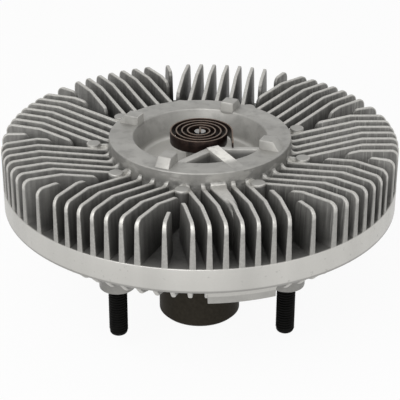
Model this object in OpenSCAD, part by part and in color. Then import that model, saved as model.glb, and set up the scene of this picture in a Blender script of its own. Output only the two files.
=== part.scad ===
// Viscous fan clutch: finned two-part casting, fluid drive and bimetal valve.
// The axis is Z. The free end of the drive hub lies on z = 0 and the bimetal coil faces +Z.
// Lengths are in millimetres and angles in degrees.

/* [Hub and shaft] */
// Diameter of the drive hub
hub_d = 45; // [42:0.5:49]
// Length of the drive hub
hub_len = 30; // [26:0.5:40]
// Edge break of the hub's free end
hub_edge = 1.5; // [0.5:0.1:3]
// Core diameter of the hub's internal thread
hub_thread_d = 28.4; // [22:0.1:32]
// Depth of the hub's internal thread
hub_thread_len = 22; // [14:0.5:24]
// Diameter of the neck between hub and bearing
neck_d = 31; // [29:0.5:32]
// Length of the neck between hub and bearing
neck_len = 10.5; // [7:0.5:16]
// Diameter of the shaft in the rotor
rotor_seat_d = 22; // [18:0.5:24]

/* [Bearing] */
// Bore of the ball bearing
bearing_bore = 25; // [24:0.5:26]
// Outer diameter of the ball bearing
bearing_od = 52; // [51:0.5:54]
// Width of the ball bearing
bearing_w = 15; // [14:0.5:18]
// Diameter of one ball
ball_d = 7.94; // [7:0.01:8.2]
// Number of balls
ball_count = 9; // [7:1:9]
// Running gap round a ball
ball_gap = 0.05; // [0.03:0.01:0.1]
// Thickness of a bearing seal
seal_t = 1; // [0.6:0.1:1.2]
// Thickness of the retaining ring under the bearing
circlip_t = 1.5; // [1.2:0.1:2]

/* [Rotor] */
// Thickness of the rotor's web
rotor_web_t = 5; // [4:0.5:7]
// Height of the rotor's boss between bearing and web
rotor_boss_h = 16; // [14:0.5:20]
// Diameter of the rotor's boss
rotor_boss_d = 36; // [32:0.5:42]
// Height of one drive land
land_h = 3; // [2:0.1:4]
// Number of drive lands on each side
land_count = 5; // [3:1:5]
// Distance from one drive land to the next
land_pitch = 5; // [4.6:0.1:5.4]
// Running gap between two neighbouring lands
land_gap = 0.4; // [0.3:0.05:0.6]
// Running gap between the rotor's faces and the housing
face_gap = 0.5; // [0.4:0.1:1]
// Diameter of the rotor's fluid holes
rotor_hole_d = 6; // [4:0.5:8]
// Number of fluid holes in the rotor
rotor_holes = 6; // [4:1:8]
// Radius of the circle of fluid holes
rotor_hole_r = 36; // [34:0.5:42]

/* [Rim] */
// Outer diameter of the turned rim
outer_d = 210; // [200:1:230]
// Height of the turned rim
band_h = 13; // [12:0.5:16]
// Wall of the cover's skirt round the body's flange
skirt_wall = 3.9; // [3:0.1:5]
// Height of the crimped lip under the flange
lip_t = 2; // [1.5:0.1:3]
// Width of the crimped lip
lip_w = 2.6; // [1.8:0.1:3.2]
// Edge break of the rim's lower edge
band_edge = 0.7; // [0.3:0.1:1.2]
// Gap between the flange and the skirt
rim_fit = 0.1; // [0.05:0.05:0.3]
// Width of the body's flange from chamber to skirt
flange_w = 8; // [7:0.5:10]
// Thickness of the body's flange
flange_t = 4.5; // [4:0.1:5.5]
// Gap between the rotor's edge and the chamber wall
chamber_gap = 5; // [4:0.5:7]
// Section diameter of the cover's sealing ring
seal_ring_d = 2; // [1.6:0.1:2.4]

/* [Cover] */
// Thickness of the cover at the rim
cover_t = 3.5; // [3:0.1:5]
// Rise of the cover's face from rim to ring
face_rise = 5; // [3:0.5:7]
// Outer diameter of the raised ring
ring_d = 96.8; // [92:0.2:104]
// Height of the raised ring above the rim
ring_h = 23; // [20:0.5:26]
// Wall of the raised ring
ring_wall = 3.8; // [3:0.1:4.6]
// Diameter of the bowl at the ring's face
bowl_d = 71.4; // [69:0.2:74]
// Diameter of the bowl's floor
bowl_floor_d = 64; // [61:0.2:66]
// Depth of the bowl
bowl_depth = 14.6; // [13:0.1:16]
// Thickness of the bowl's floor and wall
bowl_wall = 4; // [3.4:0.1:4.4]
// Angle of the first lug on the ring
lug_angle = 65.5; // [55:0.5:75]
// Number of lugs on the ring
lug_count = 4; // [3:1:4]
// Width of a lug at its top
lug_w = 6.5; // [5:0.1:8]
// Length of a lug's flat top along the radius
lug_len = 7.8; // [5:0.1:8.4]
// Length of the ramp at a lug's outer end
lug_ramp = 3.5; // [2:0.1:4]
// Height of a lug above the ring
lug_h = 4.9; // [4:0.1:7]
// Draft of each side of a lug
lug_draft = 7; // [2:0.5:9]
// Overhang of a lug inside the bowl's edge
lug_inset = 0.5; // [0.2:0.1:1]
// Diameter of the wall round the valve shaft
shaft_boss_d = 15; // [13:0.5:18]
// Height of the wall round the valve shaft
shaft_boss_h = 6; // [4:0.5:8]

/* [Cooling fins] */
// Number of fin groups round the cover
sectors = 9; // [8:1:9]
// Turn of the first fin group
sector_turn = 1; // [-10:0.5:10]
// Fins on each side of a group's middle fin
side_fins = 3; // [2:1:3]
// Distance between the parallel fins of a group
fin_pitch = 7.7; // [7:0.1:8]
// Thickness of a fin at its top
fin_top_t = 1.8; // [1.5:0.1:2.6]
// Draft of each fin side
fin_draft = 1.6; // [0.5:0.1:2]
// Height of the fins above the rim
fin_h = 24; // [20:0.5:27]
// Drop of the fins from their flat top to the ring
fin_drop = 9; // [5:0.5:11]
// Width of the flat top of the fins along the radius
fin_flat_w = 19.3; // [15:0.1:24]
// Rounding of a fin's outer top corner
fin_corner_r = 4; // [2:0.5:6]
// Rounding where a fin meets the ring
fin_root_r = 3; // [1.5:0.5:4]
// Set-back of the fins from the turned rim
fin_relief = 0.1; // [0.05:0.05:0.3]
// Length from the rim of a group's last fin
long_edge_len = 37.5; // [36:0.5:44]
// Length from the rim of a group's first fin
short_edge_len = 27; // [20:0.5:28]
// Length from the rim of the single fin between groups
single_len = 14.5; // [9:0.5:16]
// Rounding of the free inner ends of the fins
fin_end_r = 3.5; // [3:0.5:8]
// Diameter of an ejector pad
pad_d = 7.5; // [6:0.1:9]
// Radius of the circle of ejector pads
pad_r = 56.6; // [55:0.2:59]
// Height of an ejector pad below the fin tops
pad_drop = 5.6; // [3:0.1:8]
// Number of the fin group that carries the return duct
duct_sector = 7; // [0:1:7]
// Width of the return duct's rib at the ring
duct_w = 9; // [7:0.5:10]
// Width of the return duct's rib at its outer end
duct_end_w = 5; // [4.6:0.1:6]
// Diameter of the return duct
duct_d = 3; // [2:0.1:3.2]

/* [Rear body] */
// Thickness of the body's floor
body_t = 5.5; // [4.5:0.5:8]
// Wall round the bearing
bearing_wall = 7; // [5:0.5:9]
// Depth below the body's floor where the bearing's wall turns into the floor
collar_drop = 9; // [7:0.5:10]
// Spread of the bearing's wall towards the floor, and its edge break
collar_spread = 1; // [0.5:0.5:2]
// Width of the floor's slope outside the ribs' inner ends
slope_w = 6; // [4:0.5:8]
// Depth of the floor's slope
slope_h = 4; // [3:0.5:6]
// Gap round the rotor's boss
rotor_clear = 3; // [2:0.5:4]
// Number of ribs under the body
rib_count = 72; // [48:4:72]
// Thickness of a rib
rib_t = 2.6; // [1.8:0.1:3]
// Inner radius of the ribs
rib_in_r = 46; // [44:0.5:50]
// Distance from the rim to the ribs' outer ends
rib_rim_gap = 8.2; // [7.2:0.1:10]
// Height of the ribs' outer corner below the rim
rib_corner_drop = 9.5; // [7:0.5:12]
// Fall of the ribs from their outer corner to their inner end
rib_fall = 17; // [12:0.5:19]
// Distance from the rim to the ribs' outer corner
rib_corner_gap = 12; // [10:0.5:18]
// Angle that a smooth pad spans
arc_span = 20; // [12:1:30]
// Angle between a smooth pad and the next stud
arc_lead = 24.4; // [16:0.2:30]
// Depth of the smooth pads below the ribs' outer corner
arc_drop = 0.9; // [0.5:0.1:3]
// Distance from the ribs' outer ends to the pads' outer face
arc_set = 0.4; // [0.2:0.1:0.8]
// Edge break of the pads, and their fall towards the studs
arc_edge = 1; // [0.5:0.1:1.5]
// Width of the pads inside the circle of studs
arc_in_w = 4; // [3:0.5:6]
// Depth of the pads' root in the body
arc_hold = 2; // [1.5:0.1:2.2]

/* [Fan studs] */
// Number of studs
stud_count = 4; // [3:1:6]
// Diameter of the circle of studs
stud_pcd = 125; // [116:0.5:132]
// Nominal diameter of a stud
stud_d = 10; // [8:0.5:12]
// Free length of a stud
stud_len = 28.6; // [20:0.5:30]
// Depth of a stud in its boss
stud_set = 14; // [10:0.5:16]
// Thickening of a stud in its boss
stud_grip = 0.5; // [0.3:0.1:1]
// Width of the groove where a stud's thread ends
stud_groove_w = 1.6; // [1:0.1:2.5]
// Depth of the groove where a stud's thread ends
stud_groove_d = 0.6; // [0.3:0.1:1]
// Depth of a stud's grip below the boss face
stud_grip_set = 0.8; // [0.5:0.1:1.5]
// Rounding at the end of a stud
stud_end = 1.6; // [0.6:0.1:2]
// Diameter of a boss round a stud
boss_d = 19; // [16:0.5:22]
// Height of the boss faces below the rim
boss_drop = 30.5; // [28:0.5:32]
// Angle of the first stud
stud_angle = 46.8; // [40:0.2:55]

/* [Valve] */
// Thickness of the pump plate
plate_t = 1.5; // [1:0.1:2]
// Diameter of the pump plate
plate_d = 112; // [108:0.5:114]
// Ledge that the pump plate seats on
plate_ledge = 4; // [3:0.5:5]
// Diameter of the feed port in the pump plate
port_d = 6; // [4:0.5:7]
// Radius of the feed port
port_r = 27; // [22:0.5:29]
// Diameter of the valve shaft
valve_d = 6; // [5:0.1:7]
// Running gap round the valve shaft
valve_fit = 0.05; // [0.03:0.01:0.1]
// Thickness of the valve arm
arm_t = 0.8; // [0.6:0.1:1.2]
// Width of the valve arm
arm_w = 9; // [8:0.5:12]
// Gap between the valve arm and the pump plate
arm_gap = 0.3; // [0.2:0.1:0.6]
// Diameter of the valve's stop pin
stop_d = 3; // [2:0.1:4]
// Gap between the closed arm and its stop pin
stop_gap = 0.15; // [0.1:0.05:0.4]
// Radius of the stop pin's place
stop_r = 20; // [14:0.5:22]
// Section diameter of the valve shaft's sealing ring
shaft_ring_d = 1.4; // [1.2:0.1:1.8]
// Angle that the wiper block spans
wiper_span = 7; // [4:0.5:10]
// Depth of the wiper block's seat in the cover
wiper_seat = 1; // [0.6:0.1:1.4]

/* [Bimetal coil] */
// Largest radius of the coil
coil_r = 17.5; // [16.5:0.1:18]
// Distance from one turn to the next
coil_pitch = 2.8; // [2.4:0.1:2.9]
// Number of turns
coil_turns = 4.25; // [3.75:0.25:4.25]
// Thickness of the strip
strip_t = 0.8; // [0.8:0.1:1.3]
// Width of the strip
strip_h = 6.5; // [5:0.1:8]
// Height of the coil above the ring
coil_rise = 2.4; // [2:0.1:4.5]
// Gap between the strip and the slots that hold it
slot_gap = 0.1; // [0.05:0.05:0.3]
// Gap between the coil and the bridge
coil_gap = 0.7; // [0.4:0.1:1.5]

/* [Coil bridge] */
// Width of the left rib
left_rib_w = 4.6; // [3.5:0.1:6]
// Width of the middle rib
mid_rib_w = 7.8; // [5:0.1:9]
// Width of the right rib
right_rib_w = 3.6; // [3:0.1:5]
// Angle of the left rib's outer end
left_rib_a = 253.4; // [250:0.2:258]
// Angle of the middle rib's outer end
mid_rib_a = 297.2; // [290:0.2:302]
// Angle of the right rib's outer end
right_rib_a = 332; // [328:0.2:336]
// Position across of the point where the ribs meet
apex_x = 6.5; // [4:0.1:9]
// Distance in front of the axis of the point where the ribs meet
apex_y = 16.5; // [15:0.1:18]
// Depth of the ribs' tops below the ring
bridge_drop = 0.3; // [0.1:0.1:1]
// Height of the strip on the middle rib above the ring
bridge_rise = 0.6; // [0.3:0.1:1.2]
// Width of the strip on the middle rib
bridge_strip_w = 7; // [5:0.1:7.4]
// Distance from the ring's edge to the end of the strip
bridge_strip_gap = 3; // [2:0.1:6]

/* [Hidden] */
$fn = 96;

cast_grey = [0.62, 0.62, 0.61];
body_grey = [0.55, 0.55, 0.54];
dark_steel = [0.17, 0.15, 0.13];
bright_steel = [0.74, 0.74, 0.75];
plate_steel = [0.66, 0.67, 0.68];
stud_black = [0.09, 0.09, 0.1];
rubber_black = [0.05, 0.05, 0.05];
cage_brown = [0.45, 0.36, 0.22];
bimetal_brown = [0.24, 0.17, 0.13];

// A small overlap that joins one form to the next, and how far a cut reaches past its piece
joint = 0.6;
cut_over = 1;

// Depth of the fins in the cover and in the ring, and the angle left free beside a fin group
root_depth = 1.4;
fin_bury = 1.5;
group_gap = 0.15;

// Edge breaks and slopes of the cover
shaft_boss_edge = 1;
ring_edge = 0.6;
ring_spread = 0.4;
rim_top_w = 1;
rim_top_drop = 0.4;
inner_rise = 0.8;

// Height of an ejector pad above its web, and of the return duct above the face at the ring
pad_lift = 1;
duct_lift = 0.5;

// Angle between the return duct and the wiper block
wiper_lead = 3;

// Rear body: gap inside the crimped lip, wall below the circlip, shoulder over the bearing,
// distance from the chamber to the floor's turn, and the step inside the lands
neck_gap = 0.5;
circlip_wall = 3;
shoulder_t = 4;
floor_turn = 4;
step_w = 2;
step_h = 2.5;

// Gap of the rear ribs to the flange, and the depth of their root in the floor
rib_flange_gap = 1;
rib_root = 2;

// Heights along the axis
z_bearing0 = hub_len + neck_len;
z_bearing1 = z_bearing0 + bearing_w;
z_ball = z_bearing0 + bearing_w / 2;
z_web0 = z_bearing1 + rotor_boss_h;
z_web1 = z_web0 + rotor_web_t;
z_floor = z_web0 - land_h - face_gap;
z_under = z_web1 + land_h + face_gap;
z_band1 = z_under + cover_t;
z_band0 = z_band1 - band_h;
z_flange0 = z_band0 + lip_t;
z_flange1 = z_flange0 + flange_t;
z_ring = z_band1 + ring_h;
z_bowl = z_ring - bowl_depth;
z_bowl_under = z_bowl - bowl_wall;
z_fin = z_band1 + fin_h;
z_fin_in = z_fin - fin_drop;
z_face_in = z_band1 + face_rise;
z_plate1 = z_under + plate_t;
z_arm0 = z_plate1 + arm_gap;
z_coil1 = z_ring + coil_rise;
z_coil0 = z_coil1 - strip_h;
z_boss = z_band0 - boss_drop;
z_rib_corner = z_band0 - rib_corner_drop;
z_rib_in = z_rib_corner - rib_fall;
z_arc = z_rib_corner - arc_drop;
z_body_under = z_floor - body_t;

// Radii
outer_r = outer_d / 2;
fin_r = outer_r - fin_relief;
ring_r = ring_d / 2;
bowl_r = bowl_d / 2;
bowl_floor_r = bowl_floor_d / 2;
flange_r = outer_r - skirt_wall - rim_fit;
chamber_r = flange_r - flange_w;
rotor_r = chamber_r - chamber_gap;
lip_r = outer_r - skirt_wall - lip_w;
neck_r = lip_r - neck_gap;
plate_r = plate_d / 2;
reservoir_r = plate_r - plate_ledge;
fin_bend_r = outer_r - fin_flat_w;
rib_out_r = outer_r - rib_rim_gap;
rib_corner_r = outer_r - rib_corner_gap;
arc_r = rib_out_r + arc_set;
stud_r = stud_pcd / 2;

// Ball bearing
bearing_ri = bearing_bore / 2;
bearing_ro = bearing_od / 2;
pitch_r = (bearing_ri + bearing_ro) / 2;
ball_r = ball_d / 2;
groove_r = ball_r + ball_gap;
shoulder_share = 0.65;
inner_land_r = pitch_r - ball_r * shoulder_share;
outer_land_r = pitch_r + ball_r * shoulder_share;
cage_clear = 0.9;
cage_rim = 1.2;
seal_clear = 0.15;
seal_in = 0.5;

// Drive lands: the rotor's and the housing's rings take turns along the radius
land_w = land_pitch / 2 - land_gap;
land_r0 = rotor_r - (land_count - 1) * land_pitch - land_w;

// Sealing ring in the flange's face, and the gap beside it in its groove
seal_ring_r = flange_r - flange_w / 2;
seal_ring_fit = 0.2;

// Retaining rings of the rotor and the bearing: the angle that they span, and how they lie
clip_span = 320;
snap_turn = 20;
snap_t = 1.2;
snap_w = 2.2;
snap_groove = 1;
circlip_turn = 110;
circlip_w = 2.2;
circlip_groove = 1.3;

// Ends of the shaft and the hub
shaft_end = 1.2;
shaft_end_edge = 0.6;
hub_back_edge = 1;

// Rotor: foot on the bearing's inner ring, and the bevel between boss and web
rotor_foot_w = 3.5;
rotor_foot_h = 5;
rotor_bevel = 2;

// Valve: reach of the arm past the port and round the shaft, stop pin above the arm,
// and the shaft's tip below the coil's top
arm_over = 1.5;
arm_eye = 2;
stop_over = 0.6;
tip_drop = 0.5;

// Coil: gap and overlap of its straight tail, and the steps of one turn
tail_gap = 0.2;
tail_joint = 0.3;
turn_steps = 32;

function polar(r, a) = [r * cos(a), r * sin(a)];

// Fin body with draft, lying along +X from x0 outwards
module drafted_plate(x0, x1, top_t, z0, z1) {
  bottom_t = top_t + 2 * (z1 - z0) * tan(fin_draft);
  translate([x0, 0, 0])
    rotate([90, 0, 90])
      linear_extrude(x1 - x0)
        polygon([[-bottom_t / 2, z0], [bottom_t / 2, z0], [top_t / 2, z1], [-top_t / 2, z1]]);
}

// The turned form that fins fill within half an angle to each side of a group's middle:
// sloping top, flat top and round outer corner, all set in by the same amount
module fin_envelope(half, inset = 0) {
  r_in = ring_r - ring_wall / 2 + inset;
  r_out = fin_r - inset;
  top = z_fin - inset;
  slope = fin_drop / (fin_bend_r - ring_r);
  fillet_z = top - fin_drop + slope * fin_root_r;
  fillet = [for (a = [270 : -22.5 : 180])
    [ring_r, fillet_z] + fin_root_r * [1 + cos(a), 1 + sin(a)]];
  rotate(-half)
    rotate_extrude(angle = 2 * half)
      union() {
        polygon(concat(
          [
            [r_in, z_face_in - root_depth + inset], [r_out, z_band1 - root_depth + inset],
            [r_out, top - fin_corner_r], [r_out - fin_corner_r, top - fin_corner_r],
            [r_out - fin_corner_r, top], [fin_bend_r, top]
          ],
          fillet,
          [[r_in, fillet_z + fin_root_r]]
        ));
        translate([r_out - fin_corner_r, top - fin_corner_r])
          circle(r = fin_corner_r);
      }
}

// Takes the inner top corner off a fin that ends at x0, with the fin's top at the given height
module end_rounding(x0, top) {
  lift = fin_end_r / 12;
  rotate([90, 0, 0])
    linear_extrude(fin_pitch, center = true)
      difference() {
        translate([x0 - cut_over, top - fin_end_r + lift])
          square([fin_end_r + cut_over, z_fin - top + fin_end_r + 2 * cut_over]);
        translate([x0 + fin_end_r, top - fin_end_r + lift])
          circle(r = fin_end_r);
      }
}

// Fin that ends free at radius r0, to one side of the group's middle by the given offset
module free_fin(r0, offset_y) {
  x0 = sqrt(r0 * r0 - offset_y * offset_y);
  slope = fin_drop / (fin_bend_r - ring_r);
  top = z_fin - max(0, slope * (fin_bend_r - r0 - fin_end_r));
  translate([0, offset_y, 0])
    difference() {
      drafted_plate(x0 + fin_end_r / 16, outer_r + cut_over,
                    fin_top_t, z_under + joint, z_fin + cut_over);
      end_rounding(x0, top);
    }
}

// Parallel fins of one group that run into the ring
module rooted_fins() {
  root_r = ring_r - ring_wall / 2;
  for (i = [-side_fins + 1 : side_fins - 1])
    translate([0, i * fin_pitch, 0])
      drafted_plate(sqrt(pow(root_r, 2) - pow(i * fin_pitch, 2)) - fin_bury, outer_r + cut_over,
                    fin_top_t, z_under + joint, z_fin + cut_over);
}

// First and last fin of one group, and the single fin that follows the group
module free_fins() {
  last = side_fins * fin_pitch;
  free_fin(outer_r - long_edge_len, last);
  free_fin(outer_r - short_edge_len, -last);
  rotate(180 / sectors)
    free_fin(outer_r - single_len, 0);
}

module cover_fins() {
  for (k = [0 : sectors - 1])
    rotate(sector_turn + k * 360 / sectors) {
      intersection() {
        fin_envelope(180 / sectors - group_gap);
        rooted_fins();
      }
      intersection() {
        fin_envelope(270 / sectors);
        free_fins();
      }
    }
}

// Turned section of the cover: bowl, ring, face, rim, crimped lip and inner side
module cover_shell() {
  ledge_z = z_plate1;
  bowl_out = bowl_wall * 0.95;
  rotate_extrude()
    polygon([
      [valve_d / 2 + valve_fit, z_bowl + shaft_boss_h],
      [shaft_boss_d / 2 - shaft_boss_edge, z_bowl + shaft_boss_h],
      [shaft_boss_d / 2, z_bowl + shaft_boss_h - shaft_boss_edge],
      [shaft_boss_d / 2, z_bowl],
      [bowl_floor_r, z_bowl],
      [bowl_r, z_ring],
      [ring_r - ring_edge, z_ring],
      [ring_r, z_ring - ring_edge],
      [ring_r + ring_spread, z_face_in],
      [outer_r - rim_top_w, z_band1],
      [outer_r, z_band1 - rim_top_drop],
      [outer_r, z_band0 + band_edge],
      [outer_r - band_edge, z_band0],
      [lip_r, z_band0],
      [lip_r, z_flange0],
      [flange_r + rim_fit, z_flange0],
      [flange_r + rim_fit, z_flange1],
      [chamber_r, z_flange1],
      [chamber_r, z_under],
      [plate_r, z_under],
      [plate_r, ledge_z],
      [reservoir_r, ledge_z],
      [reservoir_r, z_face_in - bowl_wall],
      [ring_r - ring_wall, z_face_in - bowl_wall + inner_rise],
      [ring_r - ring_wall, z_ring - bowl_wall],
      [bowl_r + bowl_out, z_ring - bowl_wall],
      [bowl_floor_r + bowl_out, z_bowl_under],
      [valve_d / 2 + valve_fit, z_bowl_under]
    ]);
}

// Rings on the housing that reach between the rotor's rings
module housing_lands(z0, z1) {
  rotate_extrude()
    union() {
      for (i = [0 : land_count - 2])
        translate([land_r0 + i * land_pitch + land_w + land_gap, z0])
          square([land_w, z1 - z0]);
    }
}

// One lug along +X: a drafted block with a flat top that ends in a ramp
module ring_lug() {
  r0 = bowl_r - lug_inset;
  r1 = r0 + lug_len;
  toe = lug_h + cut_over;
  r2 = r1 + lug_ramp * toe / lug_h;
  foot = bowl_wall * 0.75;
  foot_w = lug_w + 2 * (lug_h + foot) * tan(lug_draft);
  over_w = lug_w - 2 * cut_over * tan(lug_draft);
  intersection() {
    rotate([90, 0, 0])
      linear_extrude(2 * foot_w, center = true)
        polygon([
          [r0, z_ring - foot], [r2, z_ring - foot], [r2, z_ring + lug_h - toe],
          [r1, z_ring + lug_h], [r0, z_ring + lug_h]
        ]);
    translate([r0 - cut_over, 0, 0])
      rotate([90, 0, 90])
        linear_extrude(r2 - r0 + 2 * cut_over)
          polygon([
            [-foot_w / 2, z_ring - foot], [foot_w / 2, z_ring - foot],
            [over_w / 2, z_ring + lug_h + cut_over], [-over_w / 2, z_ring + lug_h + cut_over]
          ]);
  }
}

module ring_lugs() {
  for (k = [0 : lug_count - 1])
    rotate(lug_angle + k * 360 / lug_count)
      ring_lug();
}

// One rib of the bridge that holds the coil's outer end
module bridge_rib(width, angle) {
  end = polar(bowl_r + joint, angle);
  run = [end[0] - apex_x, end[1] + apex_y];
  translate([apex_x, -apex_y, z_bowl - joint])
    rotate(atan2(run[1], run[0]))
      translate([0, -width / 2, 0])
        cube([norm(run), width, z_ring - z_bowl + joint - bridge_drop]);
}

// Raised strip along the middle rib, which runs on over the ring's face
module bridge_strip() {
  end = polar(ring_r - bridge_strip_gap, mid_rib_a);
  run = [end[0] - apex_x, end[1] + apex_y];
  foot = bowl_wall / 2;
  translate([apex_x, -apex_y, z_ring - foot])
    rotate(atan2(run[1], run[0]))
      translate([0, -bridge_strip_w / 2, 0])
        cube([norm(run), bridge_strip_w, foot + bridge_rise]);
}

module coil_bridge() {
  difference() {
    union() {
      bridge_rib(left_rib_w, left_rib_a);
      bridge_rib(mid_rib_w, mid_rib_a);
      bridge_rib(right_rib_w, right_rib_a);
      translate([apex_x, -apex_y, z_bowl - joint])
        cylinder(d = mid_rib_w, h = z_ring - z_bowl + joint - bridge_drop);
      bridge_strip();
    }
    translate([0, 0, z_coil0 - coil_gap])
      cylinder(r = coil_r - coil_pitch / 4 + coil_gap, h = bowl_depth);
    translate([tail_x - strip_t / 2 - slot_gap, -tail_y - slot_gap, z_coil0 - slot_gap])
      cube([strip_t + 2 * slot_gap, tail_y, strip_h + 2 * slot_gap]);
  }
}

// Pads that the casting is pushed out on, in the corners between the groups
module ejector_pads() {
  foot = z_face_in - 2 * root_depth;
  height = z_fin - pad_drop - foot;
  for (k = [0 : sectors - 1])
    rotate(sector_turn + (k + 0.5) * 360 / sectors) {
      translate([pad_r, 0, foot])
        cylinder(d = pad_d, h = height);
      translate([ring_r - ring_wall / 2, -fin_top_t / 2, foot + pad_lift])
        cube([pad_r - ring_r + ring_wall / 2, fin_top_t, height - 2 * pad_lift]);
    }
}

// Wide rib that carries the fluid back from the rotor's edge to the reservoir
module return_rib() {
  x0 = ring_r - ring_wall / 2 - fin_bury;
  x1 = fin_bend_r;
  rotate(sector_turn + duct_sector * 360 / sectors)
    intersection() {
      fin_envelope(180 / sectors, joint);
      translate([0, 0, z_under + joint])
        linear_extrude(z_fin - z_under)
          polygon([
            [x0, -duct_w / 2], [x1, -duct_end_w / 2], [x1 + duct_end_w, 0],
            [x1, duct_end_w / 2], [x0, duct_w / 2]
          ]);
    }
}

module return_duct() {
  x0 = ring_r - ring_wall - cut_over;
  x1 = rotor_r - land_w;
  z0 = z_face_in + duct_d / 2 + duct_lift;
  z1 = z_under - duct_d;
  run = x1 - x0;
  fall = z0 - z1;
  rotate(sector_turn + duct_sector * 360 / sectors)
    translate([x0, 0, z0])
      rotate([0, 90 + atan2(fall, run), 0])
        cylinder(d = duct_d, h = sqrt(run * run + fall * fall));
}

module front_cover() {
  color(cast_grey)
    difference() {
      union() {
        cover_shell();
        cover_fins();
        ejector_pads();
        return_rib();
        ring_lugs();
        coil_bridge();
        housing_lands(z_web1 + face_gap, z_under + joint);
      }
      return_duct();
      wiper_space();
      translate([0, 0, z_bowl])
        cylinder(d = valve_d + 2 * shaft_ring_d, h = shaft_ring_d);
    }
}

// Space of the wiper block between the rotor's edge and the chamber wall
module wiper_space() {
  rotate(sector_turn + duct_sector * 360 / sectors + wiper_lead)
    rotate_extrude(angle = wiper_span)
      translate([rotor_r + land_gap, z_web0])
        square([chamber_gap - 2 * land_gap, z_under + wiper_seat - z_web0]);
}

module wiper_block() {
  color(plate_steel)
    wiper_space();
}

// Turned section of the rear body: flange, chamber, bearing seat and outer side
module body_shell() {
  boss_r = bearing_ro + bearing_wall;
  z_seat = z_bearing0 - circlip_t - circlip_wall;
  z_hole = z_bearing1 + shoulder_t;
  rotate_extrude()
    polygon([
      [bearing_ro, z_seat],
      [boss_r - collar_spread, z_seat],
      [boss_r, z_seat + collar_spread],
      [boss_r + collar_spread, z_body_under - collar_drop],
      [rib_in_r + slope_w, z_body_under - slope_h],
      [chamber_r - floor_turn, z_body_under],
      [neck_r, z_body_under + body_t],
      [neck_r, z_flange0],
      [flange_r, z_flange0],
      [flange_r, z_flange1],
      [seal_ring_r + seal_ring_d / 2 + seal_ring_fit, z_flange1],
      [seal_ring_r + seal_ring_d / 2 + seal_ring_fit, z_flange1 - seal_ring_d],
      [seal_ring_r - seal_ring_d / 2 - seal_ring_fit, z_flange1 - seal_ring_d],
      [seal_ring_r - seal_ring_d / 2 - seal_ring_fit, z_flange1],
      [chamber_r, z_flange1],
      [chamber_r, z_floor],
      [land_r0 - land_gap, z_floor],
      [land_r0 - land_gap - step_w, z_floor - step_h],
      [rotor_boss_d / 2 + 2 * rotor_clear, z_hole],
      [rotor_boss_d / 2 + rotor_clear, z_hole],
      [rotor_boss_d / 2 + rotor_clear, z_bearing1],
      [bearing_ro, z_bearing1],
      [bearing_ro, z_bearing0],
      [bearing_ro + circlip_groove, z_bearing0],
      [bearing_ro + circlip_groove, z_bearing0 - circlip_t],
      [bearing_ro, z_bearing0 - circlip_t]
    ]);
}

// Radial ribs under the body, filled out to the turned form of their lower edge
module body_ribs() {
  intersection() {
    rotate_extrude()
      union() {
        polygon([
          [rib_in_r, z_body_under], [rib_in_r, z_rib_in],
          [rib_corner_r, z_rib_corner], [rib_out_r, z_rib_corner + (rib_out_r - rib_corner_r)],
          [rib_out_r, z_flange0 - rib_flange_gap],
          [chamber_r - floor_turn, z_body_under + rib_root]
        ]);
      }
    union() {
      for (k = [0 : rib_count - 1])
        rotate(sector_turn + k * 360 / rib_count + 90 / rib_count)
          translate([rib_in_r - cut_over, -rib_t / 2, z_rib_in - cut_over])
            cube([rib_out_r - rib_in_r + 2 * cut_over, rib_t, z_flange0 - z_rib_in]);
    }
  }
}

// Smooth pads that fill the spaces between a few ribs, beside the studs
module arc_pads() {
  for (k = [0 : stud_count - 1])
    rotate(stud_angle + k * 360 / stud_count - arc_lead - arc_span)
      rotate_extrude(angle = arc_span)
        polygon([
          [stud_r - arc_in_w, z_body_under + arc_hold / 2],
          [stud_r - arc_in_w, z_arc - arc_edge], [stud_r, z_arc - arc_edge],
          [arc_r - arc_edge, z_arc], [arc_r, z_arc + arc_edge],
          [arc_r, z_floor + joint], [chamber_r + arc_hold, z_floor + joint],
          [chamber_r + arc_hold, z_body_under + 2 * arc_hold],
          [chamber_r - 2 * arc_hold, z_body_under + arc_hold]
        ]);
}

module stud_bosses() {
  for (k = [0 : stud_count - 1])
    rotate(stud_angle + k * 360 / stud_count)
      translate([stud_r, 0, z_boss])
        cylinder(d = boss_d, h = z_body_under - z_boss);
}

module rear_body() {
  color(body_grey)
    difference() {
      union() {
        body_shell();
        body_ribs();
        arc_pads();
        stud_bosses();
        housing_lands(z_floor - joint, z_web0 - face_gap);
      }
      for (k = [0 : stud_count - 1])
        rotate(stud_angle + k * 360 / stud_count)
          translate([stud_r, 0, z_boss - cut_over])
            cylinder(d = stud_d + 2 * stud_grip, h = stud_set + cut_over);
    }
}

module input_shaft() {
  z_snap = z_web1;
  color(dark_steel)
    rotate_extrude()
      polygon([
        [hub_thread_d / 2, 0],
        [hub_d / 2 - hub_edge, 0],
        [hub_d / 2, hub_edge],
        [hub_d / 2, hub_len - hub_back_edge],
        [hub_d / 2 - hub_back_edge, hub_len],
        [neck_d / 2, hub_len],
        [neck_d / 2, z_bearing0],
        [bearing_ri, z_bearing0],
        [bearing_ri, z_bearing1],
        [rotor_seat_d / 2, z_bearing1],
        [rotor_seat_d / 2, z_snap],
        [rotor_seat_d / 2 - snap_groove, z_snap],
        [rotor_seat_d / 2 - snap_groove, z_snap + snap_t],
        [rotor_seat_d / 2, z_snap + snap_t],
        [rotor_seat_d / 2 - shaft_end_edge, z_snap + snap_t + shaft_end],
        [0, z_snap + snap_t + shaft_end],
        [0, hub_thread_len + hub_thread_d / 6],
        [hub_thread_d / 2, hub_thread_len]
      ]);
}

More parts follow.
